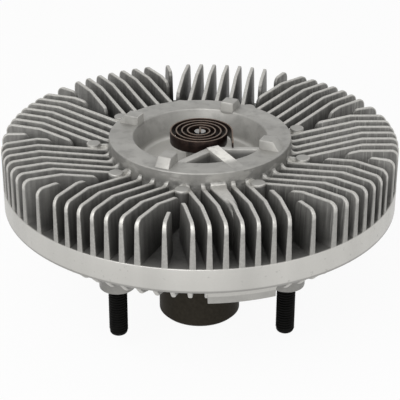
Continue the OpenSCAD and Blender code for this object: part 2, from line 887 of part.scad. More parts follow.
module rotor() {
  color(cast_grey)
    difference() {
      union() {
        rotate_extrude()
          polygon([
            [rotor_seat_d / 2, z_bearing1],
            [bearing_ri + rotor_foot_w, z_bearing1],
            [rotor_boss_d / 2, z_bearing1 + rotor_foot_h],
            [rotor_boss_d / 2, z_web0 - rotor_bevel],
            [rotor_boss_d / 2 + rotor_bevel, z_web0],
            [rotor_r, z_web0],
            [rotor_r, z_web1],
            [rotor_seat_d / 2, z_web1]
          ]);
        rotate_extrude()
          union() {
            for (i = [0 : land_count - 1])
              translate([land_r0 + i * land_pitch, z_web0 - land_h])
                square([land_w, 2 * land_h + rotor_web_t]);
          }
      }
      for (k = [0 : rotor_holes - 1])
        rotate(k * 360 / rotor_holes)
          translate([rotor_hole_r, 0, z_web0 - cut_over])
            cylinder(d = rotor_hole_d, h = rotor_web_t + 2 * cut_over);
    }
}

module rotor_snap_ring() {
  r0 = rotor_seat_d / 2 - snap_groove;
  color(bright_steel)
    translate([0, 0, z_web1])
      rotate(snap_turn)
        rotate_extrude(angle = clip_span)
          translate([r0, 0])
            square([snap_w + snap_groove, snap_t]);
}

module bearing_inner_ring() {
  color(bright_steel)
    rotate_extrude()
      difference() {
        translate([bearing_ri, z_bearing0])
          square([inner_land_r - bearing_ri, bearing_w]);
        translate([pitch_r, z_ball])
          circle(r = groove_r);
      }
}

module bearing_outer_ring() {
  color(bright_steel)
    rotate_extrude()
      difference() {
        translate([outer_land_r, z_bearing0])
          square([bearing_ro - outer_land_r, bearing_w]);
        translate([pitch_r, z_ball])
          circle(r = groove_r);
      }
}

module bearing_balls() {
  color(bright_steel)
    for (k = [0 : ball_count - 1])
      rotate(k * 360 / ball_count)
        translate([pitch_r, 0, z_ball])
          sphere(r = ball_r);
}

module bearing_cage() {
  half = ball_r + cage_rim;
  color(cage_brown)
    difference() {
      rotate_extrude()
        translate([inner_land_r + cage_clear, z_ball - half])
          square([outer_land_r - inner_land_r - 2 * cage_clear, 2 * half]);
      for (k = [0 : ball_count - 1])
        rotate(k * 360 / ball_count)
          translate([pitch_r, 0, z_ball])
            sphere(r = groove_r + ball_gap);
    }
}

module seal_disc(z0) {
  rotate_extrude()
    translate([inner_land_r + seal_clear, z0])
      square([outer_land_r - inner_land_r - seal_clear, seal_t]);
}

module bearing_front_seal() {
  color(rubber_black)
    seal_disc(z_bearing1 - seal_in - seal_t);
}

module bearing_rear_seal() {
  color(rubber_black)
    seal_disc(z_bearing0 + seal_in);
}

module bearing_circlip() {
  color(bright_steel)
    rotate(circlip_turn)
      rotate_extrude(angle = clip_span)
        translate([bearing_ro - circlip_w, z_bearing0 - circlip_t])
          square([circlip_w + circlip_groove, circlip_t]);
}

module pump_plate() {
  color(plate_steel)
    difference() {
      translate([0, 0, z_under])
        cylinder(r = plate_r, h = plate_t);
      rotate(arm_angle)
        translate([port_r, 0, z_under - cut_over])
          cylinder(d = port_d, h = plate_t + 2 * cut_over);
      rotate(arm_angle + stop_turn)
        translate([stop_r, 0, z_under - cut_over])
          cylinder(d = stop_d, h = plate_t + 2 * cut_over);
    }
}

// Direction of the closed valve arm, and how far the stop pin lies beside it
arm_angle = 135;
stop_turn = -asin((arm_w / 2 + stop_gap + stop_d / 2) / stop_r);

module valve_stop_pin() {
  color(bright_steel)
    rotate(arm_angle + stop_turn)
      translate([stop_r, 0, z_under])
        cylinder(d = stop_d, h = plate_t + arm_gap + arm_t + stop_over);
}

module valve_arm() {
  tip = port_r + port_d / 2 + arm_over;
  color(plate_steel)
    difference() {
      rotate(arm_angle)
        translate([0, 0, z_arm0])
          union() {
            cylinder(d = arm_w + arm_eye, h = arm_t);
            translate([0, -arm_w / 2, 0])
              cube([tip - arm_w / 2, arm_w, arm_t]);
            translate([tip - arm_w / 2, 0, 0])
              cylinder(d = arm_w, h = arm_t);
          }
      translate([0, 0, z_arm0 - cut_over])
        cylinder(d = valve_d, h = arm_t + 2 * cut_over);
    }
}

// Coil path: x and y of the strip's middle line, t turns in from the outer end
function coil_mid(t) = coil_r - strip_t / 2 - coil_pitch * t;
function coil_point(t, side) = polar(coil_mid(t) + side * strip_t / 2, 360 * t);
coil_steps = ceil(coil_turns * turn_steps);
tail_x = coil_r - strip_t / 2;
tail_y = apex_y - tail_gap;
tongue_a = 360 * coil_turns;
tongue_r = coil_mid(coil_turns);

module valve_shaft() {
  color(bright_steel)
    difference() {
      translate([0, 0, z_arm0])
        cylinder(d = valve_d, h = z_coil1 - tip_drop - z_arm0);
      rotate(tongue_a)
        translate([-valve_d, -strip_t / 2 - slot_gap, z_coil0 - slot_gap])
          cube([2 * valve_d, strip_t + 2 * slot_gap, strip_h + cut_over]);
    }
}

module valve_shaft_o_ring() {
  r0 = valve_d / 2 + valve_fit;
  color(rubber_black)
    rotate_extrude()
      translate([r0 + (shaft_ring_d - valve_fit) / 2, z_bowl + shaft_ring_d / 2])
        circle(d = shaft_ring_d - valve_fit);
}

module bimetal_coil() {
  color(bimetal_brown)
    translate([0, 0, z_coil0])
      linear_extrude(strip_h)
        union() {
          polygon(concat(
            [for (i = [0 : coil_steps]) coil_point(i * coil_turns / coil_steps, 1)],
            [for (i = [coil_steps : -1 : 0]) coil_point(i * coil_turns / coil_steps, -1)]
          ));
          translate([tail_x - strip_t / 2, -tail_y])
            square([strip_t, tail_y + tail_joint]);
          rotate(tongue_a)
            translate([-valve_d / 2, -strip_t / 2])
              square([tongue_r + valve_d / 2, strip_t]);
        }
}

module cover_o_ring() {
  color(rubber_black)
    rotate_extrude()
      translate([seal_ring_r, z_flange1 - seal_ring_d / 2])
        circle(d = seal_ring_d);
}

module fan_studs() {
  color(stud_black)
    for (k = [0 : stud_count - 1])
      rotate(stud_angle + k * 360 / stud_count)
        translate([stud_r, 0, 0])
          rotate_extrude()
            polygon([
              [0, z_boss - stud_len], [stud_d / 2 - stud_end, z_boss - stud_len],
              [stud_d / 2, z_boss - stud_len + stud_end], [stud_d / 2, z_boss - stud_groove_w],
              [stud_d / 2 - stud_groove_d, z_boss - stud_groove_w],
              [stud_d / 2 - stud_groove_d, z_boss + stud_grip_set],
              [stud_d / 2 + stud_grip, z_boss + stud_grip_set],
              [stud_d / 2 + stud_grip, z_boss + stud_set], [0, z_boss + stud_set]
            ]);
}

front_cover();
rear_body();
input_shaft();
rotor();
rotor_snap_ring();
bearing_inner_ring();
bearing_outer_ring();
bearing_balls();
bearing_cage();
bearing_front_seal();
bearing_rear_seal();
bearing_circlip();
pump_plate();
wiper_block();
valve_stop_pin();
valve_arm();
valve_shaft();
valve_shaft_o_ring();
bimetal_coil();
cover_o_ring();
fan_studs();
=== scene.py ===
import math

import bmesh
import bpy
from mathutils import Matrix, Vector


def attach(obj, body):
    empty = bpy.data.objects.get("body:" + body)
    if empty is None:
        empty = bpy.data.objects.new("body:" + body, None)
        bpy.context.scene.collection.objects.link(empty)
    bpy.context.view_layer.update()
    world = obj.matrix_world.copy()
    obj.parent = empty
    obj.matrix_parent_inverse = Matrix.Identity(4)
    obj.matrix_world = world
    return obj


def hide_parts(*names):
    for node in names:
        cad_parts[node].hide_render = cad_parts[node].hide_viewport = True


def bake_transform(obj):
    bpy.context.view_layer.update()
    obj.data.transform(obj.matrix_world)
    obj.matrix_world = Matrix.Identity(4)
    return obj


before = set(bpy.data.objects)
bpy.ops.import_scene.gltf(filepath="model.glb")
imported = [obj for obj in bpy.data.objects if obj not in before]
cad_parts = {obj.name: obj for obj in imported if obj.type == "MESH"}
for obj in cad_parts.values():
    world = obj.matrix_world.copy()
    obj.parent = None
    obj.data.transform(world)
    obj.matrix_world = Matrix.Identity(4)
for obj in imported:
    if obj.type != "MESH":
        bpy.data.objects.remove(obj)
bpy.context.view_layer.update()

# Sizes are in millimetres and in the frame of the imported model: the axis is Z, the hub's end is z = 0.
MM = 0.001

# Tests of place: distance in metres that counts as the same place, small distance in millimetres,
# and the angles in degrees above which an edge is sharp
SAME_PLACE = 1e-6
CLEAR = 0.2
SHARP, BLUNT = 40, 25

# Overlap that joins one form to the next, and the radius that stands for the axis in a turned outline
JOINT = 0.6
AXIS_R = 0.01

# Rim, ring and bowl of the cover
RIM_R = 105.0
RIM_Z0, RIM_Z1 = 70.5, 83.5
LIP_R, RIM_FIT = 98.5, 0.1
RING_R, RING_Z = 48.4, 106.5
RING_WALL, RING_SPREAD = 3.8, 0.4
BOWL_R, BOWL_FLOOR_R, BOWL_Z = 35.7, 32.0, 91.9
CAST_WALL, BOWL_WALL = 4.0, 3.8
FACE_Z, INNER_RISE = 88.5, 0.8
SHAFT_BORE_R, SHAFT_BOSS_R, SHAFT_BOSS_H, SHAFT_BOSS_EDGE = 3.05, 7.5, 6.0, 1.0
PLATE_R, PLATE_T, RESERVOIR_R = 56.0, 1.5, 52.0

# Lugs on the ring
LUG_COUNT, LUG_ANGLE = 4, 65.5
LUG_R, LUG_FLAT, LUG_RAMP, LUG_H = 35.2, 7.8, 3.5, 4.9
LUG_TOP_W, LUG_DRAFT = 7.3, math.radians(3)
LUG_FOOT, LUG_TOE, LUG_EDGE = 3.0, 0.4, 0.45

# Cooling fins
FIN_R, FIN_Z = 104.9, 107.5
FIN_BEND_R, FIN_DROP = 85.7, 9.0
FIN_SLOPE = FIN_DROP / (FIN_BEND_R - RING_R)
FIN_PITCH, FIN_TOP_T = 7.7, 1.8
FIN_DRAFT = math.radians(1.6)
FIN_CORNER_R, FIN_END_R, FIN_ROOT_R = 4.0, 3.5, 3.0
FIN_ROOT_STEPS = (0.25, 1.0, 2.0, FIN_ROOT_R + 0.4)
FIN_ROOT_DEPTH, FIN_OVER, FIN_EDGE = 1.4, 2.0, 0.3
SECTORS, SECTOR_TURN, SIDE_FINS = 9, 1.0, 3
LAST_FIN_R, FIRST_FIN_R, SINGLE_FIN_R = 67.5, 78.0, 90.5
SCRATCH_X0, SCRATCH_X1 = 25.0, 45.0

# Ejector pads between the fin groups, and the webs behind them
PAD_R, PAD_D, PAD_Z = 56.6, 7.5, 101.9
PAD_ROOT, PAD_EDGE = 2.8, 0.5
PAD_WEB_HALF, PAD_WEB_DROP = 1.6, 1.0

# Rib over the return duct: radius, half width and height above the fins, from the ring outwards
DUCT_SECTOR = 7
RETURN_RIB = (
    (46.6, 4.5, 0.3), (48.7, 4.5, 0.3), (49.6, 4.4, 0.35), (52.0, 4.2, 0.4),
    (68.0, 3.5, 0.3), (80.0, 2.9, -0.6), (86.0, 2.4, -2.5), (90.0, 1.3, -6.0),
)
RETURN_RIB_ROOT, RETURN_RIB_FOOT, RETURN_RIB_TAPER, RETURN_RIB_EDGE = 0.8, 0.6, 0.3, 1.9

# Bimetal coil
COIL_R, COIL_PITCH, COIL_TURNS = 17.5, 3.0, 4.25
COIL_RISE, COIL_GAP, COIL_ROOM_H = 2.4, 0.7, 20.0
STRIP_T, STRIP_H, STRIP_EDGE = 0.8, 6.5, 0.12
COIL_Z0 = RING_Z + COIL_RISE - STRIP_H
TAIL_Y, SLOT_GAP = -16.3, 0.1
TAIL_SHARES, TONGUE_SHARES = (1.0, 0.75, 0.5, 0.25), (0.62, 0.3, -0.1, -0.5)
STRIP_SHARP, STRIP_SMOOTH = 50, 30

# Bridge that holds the coil's outer end: three ribs that meet at one point, and a strip on the middle one
APEX = Vector((6.5, -16.5))
LEFT_RIB_ANGLE, MID_RIB_ANGLE, RIGHT_RIB_ANGLE = 253.4, 295.2, 332.0
LEFT_RIB_W, MID_RIB_W, RIGHT_RIB_W = 4.6, 7.8, 3.6
BRIDGE_DROP, BRIDGE_TAPER, BRIDGE_EDGE, BRIDGE_EDGE_DEPTH = 0.3, 0.15, 0.4, 5.0
BRIDGE_STRIP_W, BRIDGE_STRIP_EDGE = 7.0, 0.3
BRIDGE_STRIP_END_R = RING_R - 3.0
BRIDGE_STRIP_RISE, BRIDGE_STRIP_SINK, BRIDGE_STRIP_FOOT = 0.6, 0.5, 2.0

# Rear body
BEARING_R, BEARING_Z0, BEARING_Z1 = 26.0, 40.5, 55.5
COLLAR_Z, COLLAR_R, COLLAR_SPREAD, COLLAR_DROP = 36.0, 33.0, 1.0, 9.0
SHOULDER_R, SHOULDER_TOP_R, SHOULDER_T = 21.0, 24.0, 4.0
CIRCLIP_R, CIRCLIP_T = 27.3, 1.5
CHAMBER_R, FLANGE_R, NECK_R = 93.0, 101.0, 98.0
FLANGE_Z0, FLANGE_Z1 = 72.5, 77.0
SEAL_R0, SEAL_R1, SEAL_DEPTH = 95.8, 98.2, 2.0
BODY_Z, FLOOR_Z, COVER_UNDER_Z = 62.5, 68.0, 80.0
SLOPE_W, SLOPE_H, FLOOR_TURN = 6.0, 4.0, 4.0
STEP_R0, STEP_R1, STEP_H = 63.5, 65.5, 2.5
LAND_COUNT, LAND_R, LAND_PITCH, LAND_W, LAND_H = 4, 68.4, 5.0, 2.1, 3.0

# Ribs and smooth pads under the body
RIB_COUNT, RIB_T, RIB_TAPER, RIB_EDGE = 72, 2.6, 0.25, 0.8
RIB_IN_R, RIB_MID_R, RIB_CORNER_R, RIB_OUT_R = 46.0, 60.0, 93.0, 96.8
RIB_IN_Z, RIB_CORNER_Z = 44.0, 61.0
RIB_LEAD, RIB_ROUND_Z, RIB_PHASE = 0.5, BODY_Z + 4.0, 0.25
RIB_IN_TOP, RIB_MID_TOP, RIB_CORNER_TOP = BODY_Z - 3.0, BODY_Z - 1.0, BODY_Z + 2.0
RIB_OUT_TOP = FLANGE_Z0 - 0.8
ARC_R, ARC_Z, ARC_SPAN, ARC_LEAD = 97.2, 60.1, 20.0, 24.4
ARC_IN_W, ARC_FALL, ARC_HOLD, ARC_EDGE = 4.0, 1.0, 2.0, 1.1

# Fan studs and their bosses
STUD_COUNT = 4
STUD_R, STUD_ANGLE, STUD_D, STUD_CORE_R = 62.5, 46.8, 10.0, 4.35
STUD_Z0, STUD_Z1, STUD_GRIP, STUD_GRIP_SET = 11.4, 54.0, 0.5, 0.8
STUD_POINT_R, STUD_POINT_H, STUD_POINT_ROUND, STUD_POINT_STEP = 4.7, 2.0, 1.8, 0.4
THREAD_PITCH, THREAD_TURNS, THREAD_LEAD = 1.5, 16, 0.5
THREAD_ROOT_R, THREAD_CREST_R = 4.1, 4.98
THREAD_FLANK, THREAD_CREST_W, STUD_SMOOTH = 0.62, 0.2, 40
BOSS_Z, BOSS_D, BOSS_SPREAD, BOSS_SINK, BOSS_EDGE = 40.0, 19.0, 0.3, 0.5, 0.8

# Sides of round forms, and steps in a turn of the coil and of the thread
SHELL_SIDES, PAD_SIDES, ROOM_SIDES, STUD_SIDES, ARC_SIDES = 144, 28, 96, 40, 16
TURN_STEPS, THREAD_STEPS = 48, 32

# Look of the castings: share of metal, and greys between 0 for black and 1 for white
CAST_METALLIC = 0.78
PLAIN_DARK, PLAIN_LIGHT, PLAIN_GRAIN, PLAIN_STAIN = 0.30, 0.375, 0.46, 0.23
RING_SIDE, RING_SCRAPE, RING_FOOT_DARK = 0.21, 0.5, 0.12
BOWL_FLOOR_LIT, LUG_FACE, BRIDGE_POCKET_SHADE, BRIGHT_SCUFF_AND_HIGHLIGHT = 0.57, 0.52, 0.11, 0.78
FIN_SIDE_DARK, FIN_SIDE_LIGHT, FIN_SIDE_CLOUD, FIN_SIDE_SCRATCH = 0.125, 0.22, 0.25, 0.38
FIN_GAP_SHADE, FIN_GAP_SHADE_AT_RIM, PAD_TOP = 0.046, 0.2, 0.3
FIN_TOP_DARK, FIN_TOP_LIGHT = 0.43, 0.56
FIN_CORNER_SHEEN_DARK, FIN_CORNER_SHEEN_LIGHT = 0.48, 0.61
FIN_END_DARK, FIN_END_LIGHT = 0.31, 0.4
RIM_DARK, RIM_LIGHT, RIM_PIT, RIM_LOWER_EDGE_SHADE = 0.475, 0.57, 0.34, 0.25
BODY_DARK, BODY_LIGHT, BODY_TURNED_AND_LIT = 0.24, 0.33, 0.6

# Camera, lamps and room: places in metres, angles in degrees, power in watts
CAMERA_AIM = Vector((0, 0, 0.069))
CAMERA_TILT, CAMERA_ROLL, CAMERA_DISTANCE = 26.585, 0.197, 0.718
CAMERA_SENSOR, CAMERA_LENS = 36, 118.88
CAMERA_SHIFT_X, CAMERA_SHIFT_Y = 0.0005, -0.0062
LAMP_AIM = (0, 0, 0.08)
KEY_PLACE, KEY_SIZE, KEY_POWER = (-0.42, -0.98, 0.85), 1.1, 13.2
FILL_PLACE, FILL_SIZE, FILL_POWER = (0.8, -0.9, 0.7), 0.7, 1.2
ROOM_LIGHT, FLOOR_GLOW, FLOOR_SIZE = 0.46, 0.93, 8


def start():
    """Leaves edit mode and deselects everything, before the next primitive is added."""
    if bpy.context.mode != "OBJECT":
        bpy.ops.object.mode_set(mode="OBJECT")
    bpy.ops.object.select_all(action="DESELECT")


def take(obj):
    """Makes one object the only selected and active one."""
    start()
    obj.select_set(True)
    bpy.context.view_layer.objects.active = obj


def edit(obj):
    """Opens an object in edit mode with all of it selected."""
    take(obj)
    bpy.ops.object.mode_set(mode="EDIT")
    bpy.ops.mesh.select_mode(type="VERT")
    bpy.ops.mesh.select_all(action="SELECT")


def done():
    bpy.ops.object.mode_set(mode="OBJECT")


def named(name):
    """Names the active object and its mesh."""
    obj = bpy.context.active_object
    obj.name = name
    obj.data.name = name
    return obj


def pick(test):
    """Selects the vertices of the edited mesh that pass the test."""
    mesh = bpy.context.edit_object.data
    bm = bmesh.from_edit_mesh(mesh)
    for face in bm.faces:
        face.select_set(False)
    for edge in bm.edges:
        edge.select_set(False)
    for v in bm.verts:
        v.select_set(test(v.co))
    bm.select_flush(True)
    bmesh.update_edit_mesh(mesh)


def pick_edges(test):
    """Selects the edges of the edited mesh that pass the test."""
    bpy.ops.mesh.select_mode(type="EDGE")
    mesh = bpy.context.edit_object.data
    bm = bmesh.from_edit_mesh(mesh)
    for edge in bm.edges:
        edge.select_set(bool(test(edge)))
    bm.select_flush_mode()
    bmesh.update_edit_mesh(mesh)


def ends_pass(test):
    """A test of edges: both ends pass the given test."""
    return lambda edge: test(edge.verts[0].co) and test(edge.verts[1].co)


def sharp_where(degrees, test):
    """A test of edges: sharper than the angle, and the middle passes the given test."""
    limit = math.radians(degrees)

    def passes(edge):
        middle = (edge.verts[0].co + edge.verts[1].co) / 2
        return len(edge.link_faces) == 2 and edge.calc_face_angle(0.0) > limit and test(middle)

    return passes


def round_edges(width, segments):
    bpy.ops.mesh.bevel(offset=width * MM, segments=segments, affect="EDGES", clamp_overlap=True)


def outward():
    """Turns all faces of the edited mesh outwards."""
    bpy.ops.mesh.select_mode(type="VERT")
    bpy.ops.mesh.select_all(action="SELECT")
    bpy.ops.mesh.normals_make_consistent(inside=False)


def smooth(obj, degrees=32):
    take(obj)
    bpy.ops.object.shade_smooth_by_angle(angle=math.radians(degrees))


def settle(obj):
    """Applies the object's own place, turn and size to its mesh."""
    take(obj)
    bpy.ops.object.transform_apply(location=True, rotation=True, scale=True)


def move_to(obj, matrix):
    obj.matrix_world = matrix @ obj.matrix_world
    settle(obj)


def turned_copy(obj, degrees):
    """A copy with its own mesh, turned about the clutch's axis."""
    copy = obj.copy()
    copy.data = obj.data.copy()
    bpy.context.scene.collection.objects.link(copy)
    move_to(copy, Matrix.Rotation(math.radians(degrees), 4, "Z"))
    return copy


def discard(*objs):
    for obj in objs:
        bpy.data.objects.remove(obj, do_unlink=True)


def joined(name, objs):
    """Joins several objects into one with a new name."""
    start()
    for obj in objs:
        obj.select_set(True)
    bpy.context.view_layer.objects.active = objs[0]
    bpy.ops.object.join()
    return named(name)


def apply_modifier(obj, kind, **settings):
    m = obj.modifiers.new(kind.lower(), kind)
    for key, value in settings.items():
        setattr(m, key, value)
    take(obj)
    bpy.ops.object.modifier_apply(modifier=m.name)


def cut_away(obj, tool):
    """Cuts the form of a tool out of an object and throws the tool away."""
    apply_modifier(obj, "BOOLEAN", operation="DIFFERENCE", object=tool, solver="EXACT")
    discard(tool)


def polar(r, degrees):
    return Vector((r * math.cos(math.radians(degrees)), r * math.sin(math.radians(degrees))))


def rounded(points, radii, steps=4):
    """Outline with some corners rounded: radii gives the radius for a corner's number."""
    out = []
    for i, point in enumerate(points):
        p = Vector(point)
        if i not in radii:
            out.append(p)
            continue
        a = (Vector(points[i - 1]) - p).normalized()
        b = (Vector(points[(i + 1) % len(points)]) - p).normalized()
        half = a.angle(b) / 2
        cut = radii[i] / math.tan(half)
        centre = p + (a + b).normalized() * (radii[i] / math.sin(half))
        first, last = p + a * cut - centre, p + b * cut - centre
        sweep = -first.angle_signed(last)
        for k in range(steps + 1):
            c, s = math.cos(sweep * k / steps), math.sin(sweep * k / steps)
            out.append(centre + Vector((first.x * c - first.y * s, first.x * s + first.y * c)))
    return out


def drawn_chain(name, points):
    """A chain of edges, drawn by extruding one vertex from point to point. It stays in edit mode."""
    start()
    bpy.ops.mesh.primitive_plane_add(size=MM, location=(0, 0, 0))
    obj = named(name)
    edit(obj)
    bpy.ops.mesh.merge(type="CENTER")
    last = Vector((0, 0, 0))
    for i, point in enumerate(points):
        step = Vector(point) * MM - last
        if i == 0:
            bpy.ops.transform.translate(value=step)
        else:
            bpy.ops.mesh.extrude_region_move(TRANSFORM_OT_translate={"value": step})
        last = Vector(point) * MM
    return obj


def turned_piece(name, outline, steps=SHELL_SIDES, angle=360.0):
    """A turned form: an outline of radius and height, spun about Z.
    Less than a full turn gets end faces."""
    obj = drawn_chain(name, [(p[0], 0, p[1]) for p in outline])
    ends = [Vector((p[0], 0, p[1])) * MM for p in (outline[0], outline[-1])]
    pick(lambda c: min((c - e).length for e in ends) < SAME_PLACE)
    bpy.ops.mesh.edge_face_add()
    bpy.ops.mesh.select_all(action="SELECT")
    if angle < 360:
        bpy.ops.mesh.edge_face_add()
        bpy.ops.mesh.select_all(action="SELECT")
    bpy.ops.mesh.spin(steps=steps, angle=math.radians(angle), center=(0, 0, 0), axis=(0, 0, 1))
    bpy.ops.mesh.select_all(action="SELECT")
    bpy.ops.mesh.remove_doubles(threshold=SAME_PLACE)
    outward()
    done()
    return obj


def column_block(name, columns):
    """A bar along X made from a cube: it is cut at each column, then set to its width and height there.
    A column is x, half width below, half width above, lower z, upper z. It stays in edit mode."""
    start()
    x0, x1 = columns[0][0] * MM, columns[-1][0] * MM
    middle = ((x0 + x1) / 2, 0, 0.5)
    bpy.ops.mesh.primitive_cube_add(size=1, location=middle, scale=(x1 - x0, 1, 1))
    obj = named(name)
    settle(obj)
    edit(obj)
    for column in columns[1:-1]:
        bpy.ops.mesh.select_all(action="SELECT")
        bpy.ops.mesh.bisect(plane_co=(column[0] * MM, 0, 0), plane_no=(1, 0, 0))
    for x, low_w, top_w, low_z, top_z in columns:
        at = x * MM
        for level, half, z in ((0.0, low_w, low_z), (1.0, top_w, top_z)):
            pick(lambda c: abs(c.x - at) < SAME_PLACE and abs(c.z - level) < SAME_PLACE)
            bpy.ops.transform.resize(value=(1, 2 * half * MM, 1), center_override=(at, 0, level))
            bpy.ops.transform.translate(value=(0, 0, z * MM - level))
    outward()
    return obj


def fin_top(r):
    """Height of the fins' turned top at a radius: flat, sloping, then curved up to the ring."""
    z = FIN_Z - FIN_SLOPE * max(0.0, FIN_BEND_R - r)
    into_root = (RING_R + FIN_ROOT_R - r) / FIN_ROOT_R
    if into_root > 0:
        foot = FIN_Z - FIN_SLOPE * (FIN_BEND_R - RING_R - FIN_ROOT_R)
        z = foot + FIN_ROOT_R * (1 - math.sqrt(max(0.0, 1 - min(1.0, into_root) ** 2)))
    return z


def face_top(r):
    """Height of the cover's face between the fins at a radius."""
    t = (r - RING_R) / (RIM_R - RING_R)
    return FACE_Z + (RIM_Z1 - FACE_Z) * max(0.0, min(1.0, t))


def fin_half_width(z):
    return FIN_TOP_T / 2 + (FIN_Z - z) * math.tan(FIN_DRAFT)


def cooling_fin(name, y, inner_r, free_end):
    """One fin, parallel to X at a distance y.
    A free inner end is rounded, the other kind runs into the ring."""

    def along(r):
        return math.sqrt(r * r - y * y)

    x_in, x_out = along(inner_r), along(FIN_R)
    xs = [x_in]
    if not free_end:
        xs += [along(RING_R + step) for step in FIN_ROOT_STEPS]
    if along(FIN_BEND_R) > x_in + FIN_END_R:
        xs.append(along(FIN_BEND_R))
    xs.append(x_out + FIN_OVER)
    columns = []
    for x in xs:
        r = math.hypot(x, y)
        low, top = face_top(r) - FIN_ROOT_DEPTH, fin_top(r)
        columns.append((x, fin_half_width(low), fin_half_width(top), low, top))
    obj = column_block(name, columns)
    bpy.ops.mesh.select_all(action="SELECT")
    bpy.ops.transform.translate(value=(0, y * MM, 0))

    # The outer end is turned off with the rim, and its top corner is rounded
    end = Vector((x_out, y, 0)) * MM
    across = end.normalized()
    bpy.ops.mesh.select_all(action="SELECT")
    bpy.ops.mesh.bisect(plane_co=end, plane_no=across, clear_outer=True, use_fill=True)
    top_z = (FIN_Z - CLEAR) * MM
    pick_edges(ends_pass(lambda c: abs((c - end).dot(across)) < SAME_PLACE and c.z > top_z))
    round_edges(FIN_CORNER_R, segments=6)
    clear_x = x_in * MM
    if free_end:
        pick_edges(ends_pass(lambda c: abs(c.x - x_in * MM) < SAME_PLACE and c.z > FACE_Z * MM))
        round_edges(FIN_END_R, segments=6)
    else:
        clear_x += JOINT * MM

    # What shows of the fin above the rim gets soft edges
    low_z = (RIM_Z1 - CLEAR) * MM
    pick_edges(sharp_where(SHARP, lambda m: m.z > low_z and m.x > clear_x - SAME_PLACE))
    round_edges(FIN_EDGE, segments=2)
    outward()
    done()
    return obj


def lands(z_root, z_tip):
    """Points of the drive lands on one side of the rotor, from the outermost inwards."""
    points = []
    for i in reversed(range(LAND_COUNT)):
        r = LAND_R + LAND_PITCH * i
        points += [(r + LAND_W, z_root), (r + LAND_W, z_tip), (r, z_tip), (r, z_root)]
    return points


def cover_shell():
    """Bowl, ring, face, rim, crimped lip and inner side of the cover."""
    boss_z = BOWL_Z + SHAFT_BOSS_H
    ring_in = RING_R - RING_WALL
    skirt_r = FLANGE_R + RIM_FIT
    ledge_z = COVER_UNDER_Z + PLATE_T
    inner_z = FACE_Z - CAST_WALL
    outline = [
        (SHAFT_BORE_R, boss_z), (SHAFT_BOSS_R - SHAFT_BOSS_EDGE, boss_z),
        (SHAFT_BOSS_R, boss_z - SHAFT_BOSS_EDGE), (SHAFT_BOSS_R, BOWL_Z), (BOWL_FLOOR_R, BOWL_Z),
        (BOWL_R, RING_Z), (RING_R, RING_Z), (RING_R + RING_SPREAD, FACE_Z), (RIM_R, RIM_Z1), (RIM_R, RIM_Z0),
        (LIP_R, RIM_Z0), (LIP_R, FLANGE_Z0), (skirt_r, FLANGE_Z0), (skirt_r, FLANGE_Z1),
        (CHAMBER_R, FLANGE_Z1), (CHAMBER_R, COVER_UNDER_Z),
    ]
    outline += lands(COVER_UNDER_Z, COVER_UNDER_Z - LAND_H)
    outline += [
        (PLATE_R, COVER_UNDER_Z), (PLATE_R, ledge_z), (RESERVOIR_R, ledge_z), (RESERVOIR_R, inner_z),
        (ring_in, inner_z + INNER_RISE), (ring_in, RING_Z - CAST_WALL),
        (BOWL_R + BOWL_WALL, RING_Z - CAST_WALL), (BOWL_FLOOR_R + BOWL_WALL, BOWL_Z - CAST_WALL),
        (SHAFT_BORE_R, BOWL_Z - CAST_WALL),
    ]

    # Rounded are the boss's foot, the bowl's floor and edge, the ring's edge and foot, and the rim's edges
    radii = {3: 0.8, 4: 2.4, 5: 0.8, 6: 0.8, 7: 2.0, 8: 0.4, 9: 0.9}
    return turned_piece("cover_shell", rounded(outline, radii))


def ejector_pad():
    """Round pad in the corner between two groups of fins, with the web behind it."""
    foot = FACE_Z - PAD_ROOT
    middle = (PAD_R * MM, 0, (PAD_Z + foot) / 2 * MM)
    start()
    bpy.ops.mesh.primitive_cylinder_add(
        vertices=PAD_SIDES, radius=PAD_D / 2 * MM, depth=(PAD_Z - foot) * MM, location=middle
    )
    pad = named("pad")
    settle(pad)
    edit(pad)
    pick_edges(ends_pass(lambda c: c.z > (PAD_Z - CLEAR) * MM))
    round_edges(PAD_EDGE, segments=3)
    done()
    low, top = foot + PAD_WEB_DROP, PAD_Z - PAD_WEB_DROP
    ends = [(r, PAD_WEB_HALF, FIN_TOP_T / 2, low, top) for r in (RING_R - RING_WALL / 2, PAD_R)]
    web = column_block("pad_web", ends)
    done()
    return joined("ejector_pad", [pad, web])


def return_rib():
    """Smooth wide rib over the return duct. It covers the middle fin of its group near the ring."""
    columns = []
    for r, half, lift in RETURN_RIB:
        low, top = face_top(r) - RETURN_RIB_ROOT, fin_top(r) + lift
        columns.append((r, half + RETURN_RIB_FOOT, half - RETURN_RIB_TAPER, low, top))
    obj = column_block("return_rib", columns)
    pick_edges(sharp_where(SHARP, lambda m: m.z > FACE_Z * MM and m.x > RING_R * MM))
    round_edges(RETURN_RIB_EDGE, segments=4)
    outward()
    done()
    return obj


def ring_lug():
    """Lug on the ring: a drafted block with a flat top and a ramp at its outer end."""
    foot, top, toe = RING_Z - LUG_FOOT, RING_Z + LUG_H, RING_Z - LUG_TOE
    flat_end = LUG_R + LUG_FLAT
    ramp_end = flat_end + LUG_RAMP * (top - toe) / LUG_H

    def half(z):
        return LUG_TOP_W / 2 + (top - z) * math.tan(LUG_DRAFT)

    columns = [
        (LUG_R, half(foot), half(top), foot, top),
        (flat_end, half(foot), half(top), foot, top),
        (ramp_end, half(foot), half(toe), foot, toe),
    ]
    obj = column_block("ring_lug", columns)
    pick_edges(sharp_where(BLUNT, lambda m: m.z > (RING_Z + CLEAR) * MM))
    round_edges(LUG_EDGE, segments=3)
    outward()
    done()
    return obj


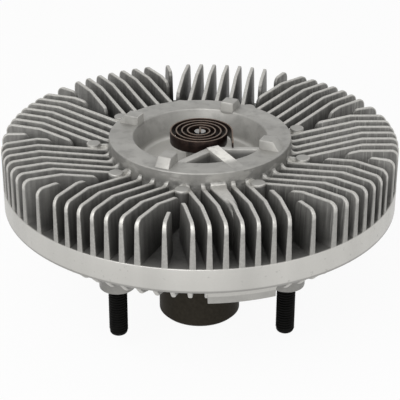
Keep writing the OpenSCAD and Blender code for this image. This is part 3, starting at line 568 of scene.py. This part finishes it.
def bridge_bar(name, width, far_end, z0, z1, edge, end_drop=0.0):
    """A bar from the point where the bridge's ribs meet to a far end, where its top may lie lower."""
    run = far_end - APEX
    low_w, top_w = width / 2, width / 2 - BRIDGE_TAPER
    columns = [(0, low_w, top_w, z0, z1), (run.length, low_w, top_w, z0, z1 - end_drop)]
    obj = column_block(name, columns)
    pick_edges(sharp_where(SHARP, lambda m: m.z > (z1 - BRIDGE_EDGE_DEPTH) * MM))
    round_edges(edge, segments=2)
    outward()
    done()
    turn = Matrix.Rotation(math.atan2(run.y, run.x), 4, "Z")
    move_to(obj, Matrix.Translation((APEX.x * MM, APEX.y * MM, 0)) @ turn)
    return obj


def coil_room():
    """Space that the coil needs in the bridge."""
    middle_z = COIL_Z0 - COIL_GAP + COIL_ROOM_H / 2
    start()
    bpy.ops.mesh.primitive_cylinder_add(
        vertices=ROOM_SIDES, radius=COIL_R * MM, depth=COIL_ROOM_H * MM, location=(0, 0, middle_z * MM)
    )
    room = named("coil_room")
    settle(room)
    return room


def tail_slot():
    """Space that the coil's tail needs in the bridge."""
    middle = Vector((COIL_R - STRIP_T / 2, TAIL_Y / 2, COIL_Z0 + STRIP_H / 2))
    size = Vector((STRIP_T, -TAIL_Y, STRIP_H)) + 2 * Vector((SLOT_GAP, SLOT_GAP, SLOT_GAP))
    start()
    bpy.ops.mesh.primitive_cube_add(size=1, location=middle * MM, scale=size * MM)
    slot = named("tail_slot")
    settle(slot)
    return slot


def coil_bridge():
    """Three ribs that meet in front of the coil, and the raised strip on the middle one."""
    low, top, reach = BOWL_Z - JOINT, RING_Z - BRIDGE_DROP, BOWL_R + JOINT
    strip_low, strip_top = RING_Z - BRIDGE_STRIP_FOOT, RING_Z + BRIDGE_STRIP_RISE
    strip_end = polar(BRIDGE_STRIP_END_R, MID_RIB_ANGLE)
    left = bridge_bar("left_rib", LEFT_RIB_W, polar(reach, LEFT_RIB_ANGLE), low, top, BRIDGE_EDGE)
    middle = bridge_bar("middle_rib", MID_RIB_W, polar(reach, MID_RIB_ANGLE), low, top, BRIDGE_EDGE)
    right = bridge_bar("right_rib", RIGHT_RIB_W, polar(reach, RIGHT_RIB_ANGLE), low, top, BRIDGE_EDGE)
    strip = bridge_bar(
        "middle_strip", BRIDGE_STRIP_W, strip_end, strip_low, strip_top, BRIDGE_STRIP_EDGE, BRIDGE_STRIP_SINK
    )
    bars = [left, middle, right, strip]
    for bar in bars:
        cut_away(bar, coil_room())
    cut_away(right, tail_slot())
    return bars


def finned_cover():
    """The whole front casting."""
    root_r = RING_R - RING_WALL / 2
    last_y = SIDE_FINS * FIN_PITCH
    models = [cooling_fin("fin", i * FIN_PITCH, root_r, False) for i in range(1 - SIDE_FINS, SIDE_FINS)]
    models.append(cooling_fin("last_fin", last_y, LAST_FIN_R, True))
    models.append(cooling_fin("first_fin", -last_y, FIRST_FIN_R, True))
    single, pad = cooling_fin("single_fin", 0.0, SINGLE_FIN_R, True), ejector_pad()
    pieces = [cover_shell()]
    step = 360 / SECTORS
    for k in range(SECTORS):
        turn = SECTOR_TURN + step * k
        pieces += [turned_copy(m, turn) for m in models]
        pieces += [turned_copy(m, turn + step / 2) for m in (single, pad)]
    rib, lug = return_rib(), ring_lug()
    pieces.append(turned_copy(rib, SECTOR_TURN + step * DUCT_SECTOR))
    pieces += [turned_copy(lug, LUG_ANGLE + 360 / LUG_COUNT * k) for k in range(LUG_COUNT)]
    discard(*models, single, pad, rib, lug)
    cover = joined("finned_cover", pieces + coil_bridge())
    smooth(cover)
    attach(cover, "housing")
    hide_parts("front_cover")
    return cover


def body_shell():
    """Flange, chamber, bearing seat and outer side of the rear body."""
    groove_z = BEARING_Z0 - CIRCLIP_T
    shoulder_z = BEARING_Z1 + SHOULDER_T
    outline = [
        (BEARING_R, COLLAR_Z), (COLLAR_R, COLLAR_Z), (COLLAR_R + COLLAR_SPREAD, BODY_Z - COLLAR_DROP),
        (RIB_IN_R + SLOPE_W, BODY_Z - SLOPE_H), (CHAMBER_R - FLOOR_TURN, BODY_Z), (NECK_R, FLOOR_Z),
        (NECK_R, FLANGE_Z0), (FLANGE_R, FLANGE_Z0), (FLANGE_R, FLANGE_Z1), (SEAL_R1, FLANGE_Z1),
        (SEAL_R1, FLANGE_Z1 - SEAL_DEPTH), (SEAL_R0, FLANGE_Z1 - SEAL_DEPTH), (SEAL_R0, FLANGE_Z1),
        (CHAMBER_R, FLANGE_Z1), (CHAMBER_R, FLOOR_Z),
    ]
    outline += lands(FLOOR_Z, FLOOR_Z + LAND_H)
    outline += [
        (STEP_R1, FLOOR_Z), (STEP_R0, FLOOR_Z - STEP_H), (SHOULDER_TOP_R, shoulder_z),
        (SHOULDER_R, shoulder_z), (SHOULDER_R, BEARING_Z1), (BEARING_R, BEARING_Z1), (BEARING_R, BEARING_Z0),
        (CIRCLIP_R, BEARING_Z0), (CIRCLIP_R, groove_z), (BEARING_R, groove_z),
    ]

    # Rounded are the collar's edge and foot, both ends of the floor's slope, and the neck's edge
    radii = {1: 1.0, 2: 3.0, 3: 3.0, 4: 3.0, 5: 1.5}
    return turned_piece("body_shell", rounded(outline, radii))


def body_rib():
    """One radial rib under the body, with its rounded outer corner."""
    half = RIB_T / 2
    slope = (RIB_CORNER_Z - RIB_IN_Z) / (RIB_CORNER_R - RIB_IN_R)

    def bottom(r):
        return RIB_IN_Z + slope * (r - RIB_IN_R)

    # Radius, lower edge, and upper edge, which lies inside the body
    start_r = RIB_IN_R - RIB_LEAD
    places = [
        (start_r, bottom(start_r), RIB_IN_TOP),
        (RIB_MID_R, bottom(RIB_MID_R), RIB_MID_TOP),
        (RIB_CORNER_R, RIB_CORNER_Z, RIB_CORNER_TOP),
        (RIB_OUT_R, RIB_CORNER_Z + RIB_OUT_R - RIB_CORNER_R, RIB_OUT_TOP),
    ]
    columns = [(r, half - RIB_TAPER, half, low, top) for r, low, top in places]
    obj = column_block("body_rib", columns)
    pick_edges(sharp_where(BLUNT, lambda m: m.z < RIB_ROUND_Z * MM))
    round_edges(RIB_EDGE, segments=3)
    outward()
    done()
    return obj


def stud_boss():
    """Round boss under the body that holds a stud."""
    half = BOSS_D / 2
    bore = STUD_D / 2 + STUD_GRIP
    top = BODY_Z - BOSS_SINK
    outline = [(bore, BOSS_Z), (half, BOSS_Z), (half + BOSS_SPREAD, top), (bore, top)]
    obj = turned_piece("stud_boss", rounded(outline, {1: BOSS_EDGE}), steps=STUD_SIDES)
    move_to(obj, Matrix.Translation((STUD_R * MM, 0, 0)))
    return obj


def smooth_pad():
    """Pad that fills the spaces between a few ribs."""
    inner, outer = STUD_R - ARC_IN_W, CHAMBER_R + ARC_HOLD
    outline = [
        (inner, BODY_Z + ARC_HOLD / 2), (inner, ARC_Z - ARC_FALL), (STUD_R, ARC_Z - ARC_FALL),
        (ARC_R, ARC_Z), (ARC_R, FLOOR_Z + JOINT), (outer, FLOOR_Z + JOINT), (outer, BODY_Z + 2 * ARC_HOLD),
        (CHAMBER_R - 2 * ARC_HOLD, BODY_Z + ARC_HOLD),
    ]
    return turned_piece("smooth_pad", rounded(outline, {3: ARC_EDGE}), steps=ARC_SIDES, angle=ARC_SPAN)


def ribbed_body():
    """The whole rear casting."""
    rib, boss, pad = body_rib(), stud_boss(), smooth_pad()
    step = 360 / RIB_COUNT
    pieces = [body_shell()]
    pieces += [turned_copy(rib, SECTOR_TURN + step * (k + RIB_PHASE)) for k in range(RIB_COUNT)]
    for k in range(STUD_COUNT):
        turn = STUD_ANGLE + 360 / STUD_COUNT * k
        pieces.append(turned_copy(boss, turn))
        pieces.append(turned_copy(pad, turn - ARC_LEAD))
    discard(rib, boss, pad)
    body = joined("ribbed_body", pieces)
    smooth(body)
    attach(body, "housing")
    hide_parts("rear_body")
    return body


def strip_path():
    """Middle line of the bimetal strip: tail, turns and the tongue in the valve shaft's slot."""
    outer = COIL_R - STRIP_T / 2
    points = [Vector((outer, TAIL_Y * t)) for t in TAIL_SHARES]
    steps = int(COIL_TURNS * TURN_STEPS)
    for i in range(steps + 1):
        t = COIL_TURNS * i / steps
        points.append(polar(outer - COIL_PITCH * t, 360 * t))
    last = points[-1].length
    points += [polar(last * share, 360 * COIL_TURNS) for share in TONGUE_SHARES]
    return points


def bimetal_strip():
    """Spiral strip: its lower edge is drawn, raised to the strip's width and thickened."""
    strip = drawn_chain("bimetal_strip", [(p.x, p.y, COIL_Z0) for p in strip_path()])
    bpy.ops.mesh.select_all(action="SELECT")
    bpy.ops.mesh.extrude_region_move(TRANSFORM_OT_translate={"value": (0, 0, STRIP_H * MM)})
    done()
    apply_modifier(strip, "SOLIDIFY", thickness=STRIP_T * MM, offset=0.0, use_even_offset=True)
    edit(strip)
    outward()
    pick_edges(sharp_where(STRIP_SHARP, lambda m: True))
    round_edges(STRIP_EDGE, segments=2)
    outward()
    done()
    smooth(strip, STRIP_SMOOTH)
    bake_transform(strip)
    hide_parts("bimetal_coil")
    return strip


def threaded_stud():
    """Stud on its own axis: a core with a rounded end, and the thread wound round it."""
    grip_r, grip_z = STUD_D / 2 + STUD_GRIP, BOSS_Z + STUD_GRIP_SET
    point_z = STUD_Z0 + STUD_POINT_H
    outline = [
        (AXIS_R, STUD_Z0), (STUD_POINT_R, STUD_Z0), (STUD_POINT_R, point_z),
        (STUD_CORE_R, point_z + STUD_POINT_STEP), (STUD_CORE_R, grip_z), (grip_r, grip_z),
        (grip_r, STUD_Z1), (AXIS_R, STUD_Z1),
    ]
    core = turned_piece("stud_core", rounded(outline, {1: STUD_POINT_ROUND}, 6), steps=STUD_SIDES)
    z0 = point_z - THREAD_LEAD
    z1 = z0 + THREAD_FLANK
    z2 = z1 + THREAD_CREST_W
    z3 = z2 + THREAD_FLANK
    ridge = [(THREAD_ROOT_R, z0), (THREAD_CREST_R, z1), (THREAD_CREST_R, z2), (THREAD_ROOT_R, z3)]
    thread = drawn_chain("stud_thread", [(p[0], 0, p[1]) for p in ridge])
    done()
    apply_modifier(
        thread, "SCREW", axis="Z", angle=2 * math.pi, screw_offset=THREAD_PITCH * MM,
        iterations=THREAD_TURNS, steps=THREAD_STEPS, render_steps=THREAD_STEPS,
        use_merge_vertices=True, merge_threshold=SAME_PLACE,
    )
    edit(thread)
    bpy.ops.mesh.remove_doubles(threshold=2 * SAME_PLACE)
    outward()
    done()
    return joined("threaded_stud", [core, thread])


def threaded_studs():
    """The group of studs, each in its boss."""
    model = threaded_stud()
    move_to(model, Matrix.Translation((STUD_R * MM, 0, 0)))
    studs = [turned_copy(model, STUD_ANGLE + 360 / STUD_COUNT * k) for k in range(STUD_COUNT)]
    discard(model)
    group = joined("threaded_studs", studs)
    smooth(group, STUD_SMOOTH)
    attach(group, "housing")
    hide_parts("fan_studs")
    return group


class Finish:
    """One procedural material on Object coordinates, in metres."""

    def __init__(self, name):
        self.mat = bpy.data.materials.new(name)
        self.mat.use_nodes = True
        self.tree = self.mat.node_tree
        self.bsdf = self.tree.nodes["Principled BSDF"]
        self.place = self.node("ShaderNodeTexCoord").outputs["Object"]
        axes = self.node("ShaderNodeSeparateXYZ")
        self.tree.links.new(self.place, axes.inputs[0])
        self.x, self.y, self.z = axes.outputs

    def node(self, kind):
        return self.tree.nodes.new(kind)

    def feed(self, socket, value):
        """Gives a socket a link or a constant."""
        if isinstance(value, bpy.types.NodeSocket):
            self.tree.links.new(value, socket)
        else:
            socket.default_value = value

    def calc(self, op, a, b=0.0):
        """One step of arithmetic with links or constants."""
        n = self.node("ShaderNodeMath")
        n.operation = op
        self.feed(n.inputs[0], a)
        self.feed(n.inputs[1], b)
        return n.outputs[0]

    def both(self, a, b):
        return self.calc("MULTIPLY", a, b)

    def over(self, a, b):
        """How far a lies above b, and 0 where it lies below."""
        return self.calc("MAXIMUM", self.calc("SUBTRACT", a, b), 0.0)

    def length(self, a, b):
        return self.calc("SQRT", self.calc("ADD", self.both(a, a), self.both(b, b)))

    def ramp(self, value, low, high, out_low=0.0, out_high=1.0):
        """Runs from one output to the other while the value runs from low to high."""
        n = self.node("ShaderNodeMapRange")
        self.feed(n.inputs[0], value)
        for i, v in enumerate((low, high, out_low, out_high)):
            n.inputs[i + 1].default_value = v
        return n.outputs[0]

    def span(self, place, low, high, out_low=0.0, out_high=1.0):
        """A ramp along a length whose two ends are in millimetres."""
        return self.ramp(place, low * MM, high * MM, out_low, out_high)

    def noise(self, scale, detail=3.0, stretch=None):
        """Noise between 0 and 1 with a scale per metre, which stretch multiplies along each axis."""
        place = self.place
        if stretch:
            m = self.node("ShaderNodeMapping")
            m.inputs["Scale"].default_value = stretch
            self.tree.links.new(place, m.inputs[0])
            place = m.outputs[0]
        n = self.node("ShaderNodeTexNoise")
        self.tree.links.new(place, n.inputs["Vector"])
        n.inputs["Scale"].default_value = scale
        n.inputs["Detail"].default_value = detail
        return n.outputs[0]

    def mix(self, factor, a, b):
        """Colour a where the factor is 0, and b where it is 1."""
        n = self.node("ShaderNodeMix")
        n.data_type = "RGBA"
        self.feed(n.inputs[0], factor)
        for socket, value in ((n.inputs[6], a), (n.inputs[7], b)):
            self.feed(socket, value if isinstance(value, bpy.types.NodeSocket) else (*value, 1))
        return n.outputs[2]

    def bump(self, height, strength, distance):
        """Fine relief of the surface, with its depth in millimetres."""
        n = self.node("ShaderNodeBump")
        n.inputs["Strength"].default_value = strength
        n.inputs["Distance"].default_value = distance * MM
        self.tree.links.new(height, n.inputs["Height"])
        self.tree.links.new(n.outputs[0], self.bsdf.inputs["Normal"])

    def finish(self, color, metallic, roughness):
        self.feed(self.bsdf.inputs["Base Color"], color)
        self.feed(self.bsdf.inputs["Metallic"], metallic)
        self.feed(self.bsdf.inputs["Roughness"], roughness)
        return self.mat


def grey(level):
    """The warm grey of the castings."""
    return (level, 0.982 * level, 0.93 * level)


def beside_rib(f, far_end):
    """Distance to the left of the line from the bridge's apex to a far end."""
    run = (far_end - APEX).normalized()
    x = f.calc("SUBTRACT", f.x, APEX.x * MM)
    y = f.calc("SUBTRACT", f.y, APEX.y * MM)
    return f.calc("ADD", f.both(x, -run.y), f.both(y, run.x))


def bridge_pocket_shade(f, r):
    """Share of painted shade in the pocket between the bridge's left and right ribs, below the ring's face.
    """
    half = LEFT_RIB_W / 2
    past_left = f.span(beside_rib(f, polar(BOWL_R, LEFT_RIB_ANGLE)), half - 0.8, half - 0.1)
    past_right = f.span(f.y, APEX.y - 0.8, APEX.y - 1.5)
    sunk = f.span(f.z, RING_Z - 0.6, RING_Z - 3, 0.0, 0.8)
    in_bowl = f.span(r, BOWL_R + 0.5, BOWL_R - 0.3)
    return f.both(f.both(past_left, past_right), f.both(sunk, in_bowl))


def ring_and_bowl_tone(f, r, cloud, grain):
    """Stained grey, with painted light on the bowl's floor, lighter on the lugs, painted shade in the
    bridge's pocket, and darker and scraped on the ring's side, with darker patches at the ring's foot.
    """
    tone = f.mix(cloud, grey(PLAIN_DARK), grey(PLAIN_LIGHT))
    tone = f.mix(f.both(grain, 0.25), tone, grey(PLAIN_GRAIN))
    stain = f.ramp(f.noise(150, 5), 0.48, 0.66, 0.0, 0.5)
    tone = f.mix(stain, tone, grey(PLAIN_STAIN))

    ring_edge = f.span(r, RING_R - 0.6, RING_R - 0.3)
    ring_side = f.both(ring_edge, f.span(f.z, RING_Z - 0.3, RING_Z - 0.9))
    tone = f.mix(f.both(ring_side, 0.35), tone, grey(RING_SIDE))
    # Painted light: the bowl's floor, which faces up, is painted lighter
    bowl_floor = f.both(f.span(r, BOWL_R, BOWL_R - 0.8), f.span(f.z, BOWL_Z + 3, BOWL_Z + 0.3))
    tone = f.mix(f.both(bowl_floor, 0.7), tone, grey(BOWL_FLOOR_LIT))
    lug_face = f.both(f.span(r, LUG_R + 0.6, LUG_R + 0.3), f.span(f.z, RING_Z - 1, RING_Z, 0.0, 0.7))
    tone = f.mix(lug_face, tone, grey(LUG_FACE))
    # Painted shade in the sunken pocket between the bridge's ribs
    tone = f.mix(bridge_pocket_shade(f, r), tone, grey(BRIDGE_POCKET_SHADE))

    scraped = f.ramp(f.noise(75, 6, (1, 1, 2.2)), 0.53, 0.6, 0.0, 0.55)
    tone = f.mix(f.both(ring_side, scraped), tone, grey(RING_SCRAPE))
    # Darker patches on the lower part of the ring's side, towards its foot
    ring_foot = f.both(ring_edge, f.span(f.z, RING_Z - 2.5, RING_Z - 6.5))
    foot_dark = f.ramp(f.noise(260, 5), 0.42, 0.6, 0.1, 0.75)
    return f.mix(f.both(ring_foot, foot_dark), tone, grey(RING_FOOT_DARK))


def fin_tone(f, r, cloud, grain):
    """Streaked sides, darkened by painted shade towards the floor between the fins and less so near the rim,
    and bright tops and ends, with a painted highlight on the rounded outer corner.
    """
    streak = f.ramp(f.noise(1, 3, (420, 420, 22)), 0.35, 0.65)
    side = f.mix(streak, grey(FIN_SIDE_DARK), grey(FIN_SIDE_LIGHT))
    side = f.mix(f.both(cloud, 0.4), side, grey(FIN_SIDE_CLOUD))
    scratch = f.ramp(f.noise(1, 2, (1100, 1100, 30)), 0.56, 0.67, 0.0, 0.6)
    scratched = f.both(scratch, f.span(f.x, SCRATCH_X0, SCRATCH_X1))
    side = f.mix(scratched, side, grey(FIN_SIDE_SCRATCH))
    # Painted shade: the sides darken towards the floor between the fins, and less so on the floor near the
    # rim
    depth = f.span(f.z, FACE_Z - 3, FIN_Z - 5, 0.8, 0.0)
    side = f.mix(depth, side, grey(FIN_GAP_SHADE))
    near_rim = f.both(f.span(r, RIM_R - 8, RIM_R - 1), f.span(f.z, FACE_Z - 1, FACE_Z - 4))
    side = f.mix(f.both(near_rim, 0.7), side, grey(FIN_GAP_SHADE_AT_RIM))

    # Distance from the fins' outline: its slope is laid flat first, and its outer corner is round
    corner_z = FIN_Z - FIN_CORNER_R
    level = f.calc("ADD", f.z, f.both(f.over(FIN_BEND_R * MM, r), FIN_SLOPE))
    beyond = f.over(r, (FIN_R - FIN_CORNER_R) * MM)
    above = f.over(level, corner_z * MM)
    crest = f.span(f.length(beyond, above), FIN_CORNER_R - 0.9, FIN_CORNER_R - 0.2)

    # Painted highlight: the rounded outer corner of the crest is painted lighter than the top
    corner = f.mix(grain, grey(FIN_CORNER_SHEEN_DARK), grey(FIN_CORNER_SHEEN_LIGHT))
    end = f.mix(grain, grey(FIN_END_DARK), grey(FIN_END_LIGHT))
    top = f.mix(grain, grey(FIN_TOP_DARK), grey(FIN_TOP_LIGHT))
    crest_and_sheen = f.mix(f.span(f.z, corner_z, corner_z - 2), corner, end)
    crest_and_sheen = f.mix(f.span(r, FIN_R - 1.4, FIN_R - 0.7, 1.0, 0.0), crest_and_sheen, top)
    pads = f.both(f.span(level, FIN_Z + 0.5, FIN_Z + 0.8), f.span(r, PAD_R - 4.8, PAD_R - 4, 0.0, 0.8))
    crest_and_sheen = f.mix(pads, crest_and_sheen, grey(PAD_TOP))
    return f.mix(crest, side, crest_and_sheen)


def scuffs_and_highlights(f, r):
    """Share of bright colour: the strip on the bridge's middle rib, a clean face that also carries a painted
    highlight, and a little painted highlight on the lugs' ramps.
    """
    # The strip is a clean face, painted brighter, and this brightness also stands in for its highlight
    half = BRIDGE_STRIP_W / 2
    off = f.calc("ABSOLUTE", beside_rib(f, polar(BRIDGE_STRIP_END_R, MID_RIB_ANGLE)))
    strip = f.both(f.span(off, half + 0.2, half), f.span(f.y, APEX.y + 4.5, APEX.y + 3.5))
    faded = f.span(r, BOWL_R - 1.7, BOWL_R + 3.8, 1.0, 0.1)
    patchy = f.ramp(f.noise(330, 4), 0.36, 0.5, 0.62, 1.0)
    strip = f.both(strip, f.both(faded, patchy))
    # Painted highlight, a little, on the lugs' ramps
    flat_end = LUG_R + LUG_FLAT
    ramps = f.span(r, flat_end - 0.1, flat_end + 0.3)
    ramps = f.both(ramps, f.span(r, RING_R - 0.2, RING_R - 0.6, 0.0, 0.1))
    raised = f.span(f.z, RING_Z + 0.04, RING_Z + 0.14)
    return f.both(raised, f.calc("MAXIMUM", strip, ramps))


def lathe_tone(f):
    """Bright turned rim with pits, and painted shade on its lower edge."""
    streak = f.ramp(f.noise(30, 3, (1, 1, 0.08)), 0.35, 0.65)
    tone = f.mix(streak, grey(RIM_DARK), grey(RIM_LIGHT))
    pits = f.ramp(f.noise(420, 2), 0.67, 0.73, 0.0, 0.45)
    tone = f.mix(pits, tone, grey(RIM_PIT))
    # Painted shade on the rim's lower bevel
    lower_edge_shade = f.span(f.z, RIM_Z0 + 1.7, RIM_Z0 + 1.1, 0.0, 0.75)
    return f.mix(lower_edge_shade, tone, grey(RIM_LOWER_EDGE_SHADE))


def cast_cover_finish():
    """Grey casting with painted shade in the gaps between the fins, bright fin tops and a turned rim."""
    f = Finish("cast_cover_finish")
    r = f.length(f.x, f.y)
    cloud = f.ramp(f.noise(55), 0.35, 0.65)
    grain = f.ramp(f.noise(900, 2), 0.3, 0.7)
    outside_ring = f.span(r, RING_R + 0.6, RING_R + 1)
    color = f.mix(outside_ring, ring_and_bowl_tone(f, r, cloud, grain), fin_tone(f, r, cloud, grain))
    # Bright clean strip and painted highlights on the bridge's strip and the lugs' ramps
    scuff_and_highlight = scuffs_and_highlights(f, r)
    color = f.mix(scuff_and_highlight, color, grey(BRIGHT_SCUFF_AND_HIGHLIGHT))
    turned = f.both(f.span(r, RIM_R - 0.7, RIM_R - 0.4), f.span(f.z, RIM_Z1 + 0.5, RIM_Z1 - 0.2))
    color = f.mix(turned, color, lathe_tone(f))

    rough = f.calc("SUBTRACT", f.ramp(grain, 0.0, 1.0, 0.5, 0.64), f.both(turned, 0.16))
    rough = f.calc("ADD", rough, f.both(scuff_and_highlight, 0.12))
    height = f.mix(turned, f.noise(1300, 2), f.noise(1, 2, (30, 30, 7000)))
    f.bump(height, 0.2, 0.3)
    return f.finish(color, CAST_METALLIC, rough)


def cast_body_finish():
    """Grey casting whose rib corners and pad faces were turned bright with the rim, and are painted lighter
    still as light thrown up from below.
    """
    f = Finish("cast_body_finish")
    r = f.length(f.x, f.y)
    cloud = f.ramp(f.noise(70), 0.35, 0.65)
    grain = f.noise(1100, 2)
    color = f.mix(cloud, grey(BODY_DARK), grey(BODY_LIGHT))
    # Turned rib tips and pad faces, painted lighter still with light thrown up from below
    from_tip = f.calc("SUBTRACT", f.calc("SUBTRACT", r, f.z), (RIB_CORNER_R - RIB_CORNER_Z) * MM)
    tips = f.span(f.calc("ABSOLUTE", from_tip), 1.4, 0.8)
    tips = f.both(tips, f.span(f.z, RIB_CORNER_Z - 0.6, RIB_CORNER_Z - 0.3))
    pad_face = f.span(r, ARC_R - 1.2, ARC_R - 0.9, 0.0, 0.42)
    pad_face = f.both(pad_face, f.span(f.z, FLOOR_Z + 0.2, FLOOR_Z - 0.2))
    bright = f.calc("MAXIMUM", tips, pad_face)
    color = f.mix(f.both(bright, 0.75), color, grey(BODY_TURNED_AND_LIT))
    f.bump(grain, 0.18, 0.3)
    return f.finish(color, CAST_METALLIC, f.ramp(grain, 0.3, 0.7, 0.46, 0.6))


def steel_finish(name, dark, light, rough, metallic=1.0, scale=300, stretch=None, shine=0.5):
    """Metal whose tone and roughness vary a little from place to place."""
    f = Finish(name)
    f.bsdf.inputs["Specular IOR Level"].default_value = shine
    n = f.noise(scale, 3, stretch)
    f.bump(n, 0.06, 0.2)
    color = f.mix(f.ramp(n, 0.3, 0.7), dark, light)
    return f.finish(color, metallic, f.ramp(n, 0.3, 0.7, rough, rough + 0.12))


def bimetal_finish():
    """Blackish brown strip whose upper edge shows bare metal."""
    f = Finish("bimetal_finish")
    n = f.ramp(f.noise(500), 0.3, 0.7)
    wall = f.mix(n, (0.012, 0.007, 0.006), (0.032, 0.018, 0.014))
    bare = f.mix(n, (0.1, 0.07, 0.051), (0.175, 0.128, 0.096))
    top = COIL_Z0 + STRIP_H
    f.bump(n, 0.06, 0.2)
    color = f.mix(f.span(f.z, top - 0.16, top - 0.06), wall, bare)
    return f.finish(color, 0.7, f.ramp(n, 0.0, 1.0, 0.36, 0.5))


def rubber_finish():
    f = Finish("rubber_finish")
    n = f.noise(1500, 2)
    f.bump(n, 0.1, 0.2)
    color = f.mix(n, (0.012, 0.012, 0.012), (0.03, 0.03, 0.03))
    return f.finish(color, 0.0, f.ramp(n, 0.3, 0.7, 0.6, 0.75))


def paint(obj, mat):
    """Gives a piece or a CAD node its one material."""
    obj.data.materials.clear()
    obj.data.materials.append(mat)


def paint_kept_nodes():
    """Finishes of the nodes that keep their CAD solids."""
    phosphate = steel_finish(
        "dark_phosphate", (0.03, 0.0261, 0.02), (0.04, 0.0351, 0.0271), 0.5, 0.05, 500, shine=0.04
    )
    ground = steel_finish("ground_steel", (0.5, 0.5, 0.5), (0.66, 0.66, 0.66), 0.25, 1.0, 60, (1, 1, 30))
    shaft_steel = steel_finish("shaft_steel", (0.2, 0.196, 0.19), (0.36, 0.352, 0.34), 0.3, 1.0, 900)
    zinc = steel_finish("zinc_plate", (0.4, 0.41, 0.42), (0.52, 0.53, 0.54), 0.38)
    spring = steel_finish("spring_steel", (0.1, 0.1, 0.105), (0.18, 0.18, 0.19), 0.35)
    brass = steel_finish("cage_brass", (0.4, 0.25, 0.08), (0.55, 0.36, 0.13), 0.32)
    rubber = rubber_finish()
    rotor_cast = steel_finish(
        "cast_rotor_finish", (0.42, 0.415, 0.405), (0.52, 0.515, 0.50), 0.46, CAST_METALLIC, 70
    )
    finishes = {
        "input_shaft": phosphate, "rotor": rotor_cast, "valve_shaft": shaft_steel,
        "rotor_snap_ring": spring, "bearing_circlip": spring,
        "bearing_inner_ring": ground, "bearing_outer_ring": ground, "bearing_balls": ground,
        "bearing_cage": brass, "bearing_front_seal": rubber, "bearing_rear_seal": rubber,
        "valve_shaft_o_ring": rubber, "cover_o_ring": rubber,
        "pump_plate": zinc, "wiper_block": zinc, "valve_stop_pin": zinc, "valve_arm": zinc,
    }
    for node_name, finish in finishes.items():
        paint(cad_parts[node_name], finish)


def soft_light(name, place, size, power):
    """Square lamp that points at the part."""
    data = bpy.data.lights.new(name, "AREA")
    data.size = size
    data.energy = power
    lamp = bpy.data.objects.new(name, data)
    bpy.context.scene.collection.objects.link(lamp)
    lamp.location = place
    lamp.rotation_euler = (Vector(LAMP_AIM) - Vector(place)).to_track_quat("-Z", "Y").to_euler()


def seen_ray(tree):
    """1 for rays from the camera, a mirror or glass, else 0."""
    path = tree.nodes.new("ShaderNodeLightPath")
    total = path.outputs["Is Camera Ray"]
    for other in ("Is Glossy Ray", "Is Transmission Ray"):
        add = tree.nodes.new("ShaderNodeMath")
        add.operation = "MAXIMUM"
        tree.links.new(total, add.inputs[0])
        tree.links.new(path.outputs[other], add.inputs[1])
        total = add.outputs[0]
    return total


def pale_floor():
    """Floor that takes shadows and glows almost white where it is seen."""
    mat = bpy.data.materials.new("pale_floor")
    mat.use_nodes = True
    tree = mat.node_tree
    bsdf = tree.nodes["Principled BSDF"]
    bsdf.inputs["Base Color"].default_value = (0.9, 0.9, 0.9, 1)
    bsdf.inputs["Roughness"].default_value = 0.9
    glow = tree.nodes.new("ShaderNodeEmission")
    share = tree.nodes.new("ShaderNodeMath")
    share.operation = "MULTIPLY"
    share.inputs[1].default_value = FLOOR_GLOW
    tree.links.new(seen_ray(tree), share.inputs[0])
    mixed = tree.nodes.new("ShaderNodeMixShader")
    tree.links.new(share.outputs[0], mixed.inputs[0])
    tree.links.new(bsdf.outputs[0], mixed.inputs[1])
    tree.links.new(glow.outputs[0], mixed.inputs[2])
    tree.links.new(mixed.outputs[0], tree.nodes["Material Output"].inputs["Surface"])
    start()
    bpy.ops.mesh.primitive_plane_add(size=FLOOR_SIZE, location=(0, 0, 0))
    floor = named("studio_floor")
    paint(floor, mat)


def white_room():
    """World that is white where it is seen, and dimmer as a light."""
    world = bpy.data.worlds.new("white_room")
    bpy.context.scene.world = world
    world.use_nodes = True
    tree = world.node_tree
    bg = tree.nodes["Background"]
    bg.inputs["Color"].default_value = (1, 1, 1, 1)
    level = tree.nodes.new("ShaderNodeMapRange")
    level.inputs[3].default_value = ROOM_LIGHT
    level.inputs[4].default_value = 1.0
    tree.links.new(seen_ray(tree), level.inputs[0])
    tree.links.new(level.outputs[0], bg.inputs["Strength"])


def camera():
    tilt, roll = math.radians(CAMERA_TILT), math.radians(CAMERA_ROLL)
    data = bpy.data.cameras.new("camera")
    data.sensor_width = CAMERA_SENSOR
    data.lens = CAMERA_LENS
    data.shift_x = CAMERA_SHIFT_X
    data.shift_y = CAMERA_SHIFT_Y
    obj = bpy.data.objects.new("camera", data)
    bpy.context.scene.collection.objects.link(obj)
    obj.location = CAMERA_AIM + CAMERA_DISTANCE * Vector((0, -math.cos(tilt), math.sin(tilt)))
    turn = Matrix.Rotation(math.pi / 2 - tilt, 4, "X") @ Matrix.Rotation(roll, 4, "Z")
    obj.rotation_euler = turn.to_euler()
    bpy.context.scene.camera = obj


def studio():
    pale_floor()
    white_room()
    soft_light("key", KEY_PLACE, KEY_SIZE, KEY_POWER)
    soft_light("fill", FILL_PLACE, FILL_SIZE, FILL_POWER)
    camera()
    bpy.context.scene.view_settings.view_transform = "Standard"


paint(finned_cover(), cast_cover_finish())
paint(ribbed_body(), cast_body_finish())
paint(bimetal_strip(), bimetal_finish())
black_oxide = steel_finish(
    "black_oxide", (0.0014, 0.0014, 0.0012), (0.0036, 0.0035, 0.003), 0.45, 0.0, shine=0.09
)
paint(threaded_studs(), black_oxide)
paint_kept_nodes()
studio()
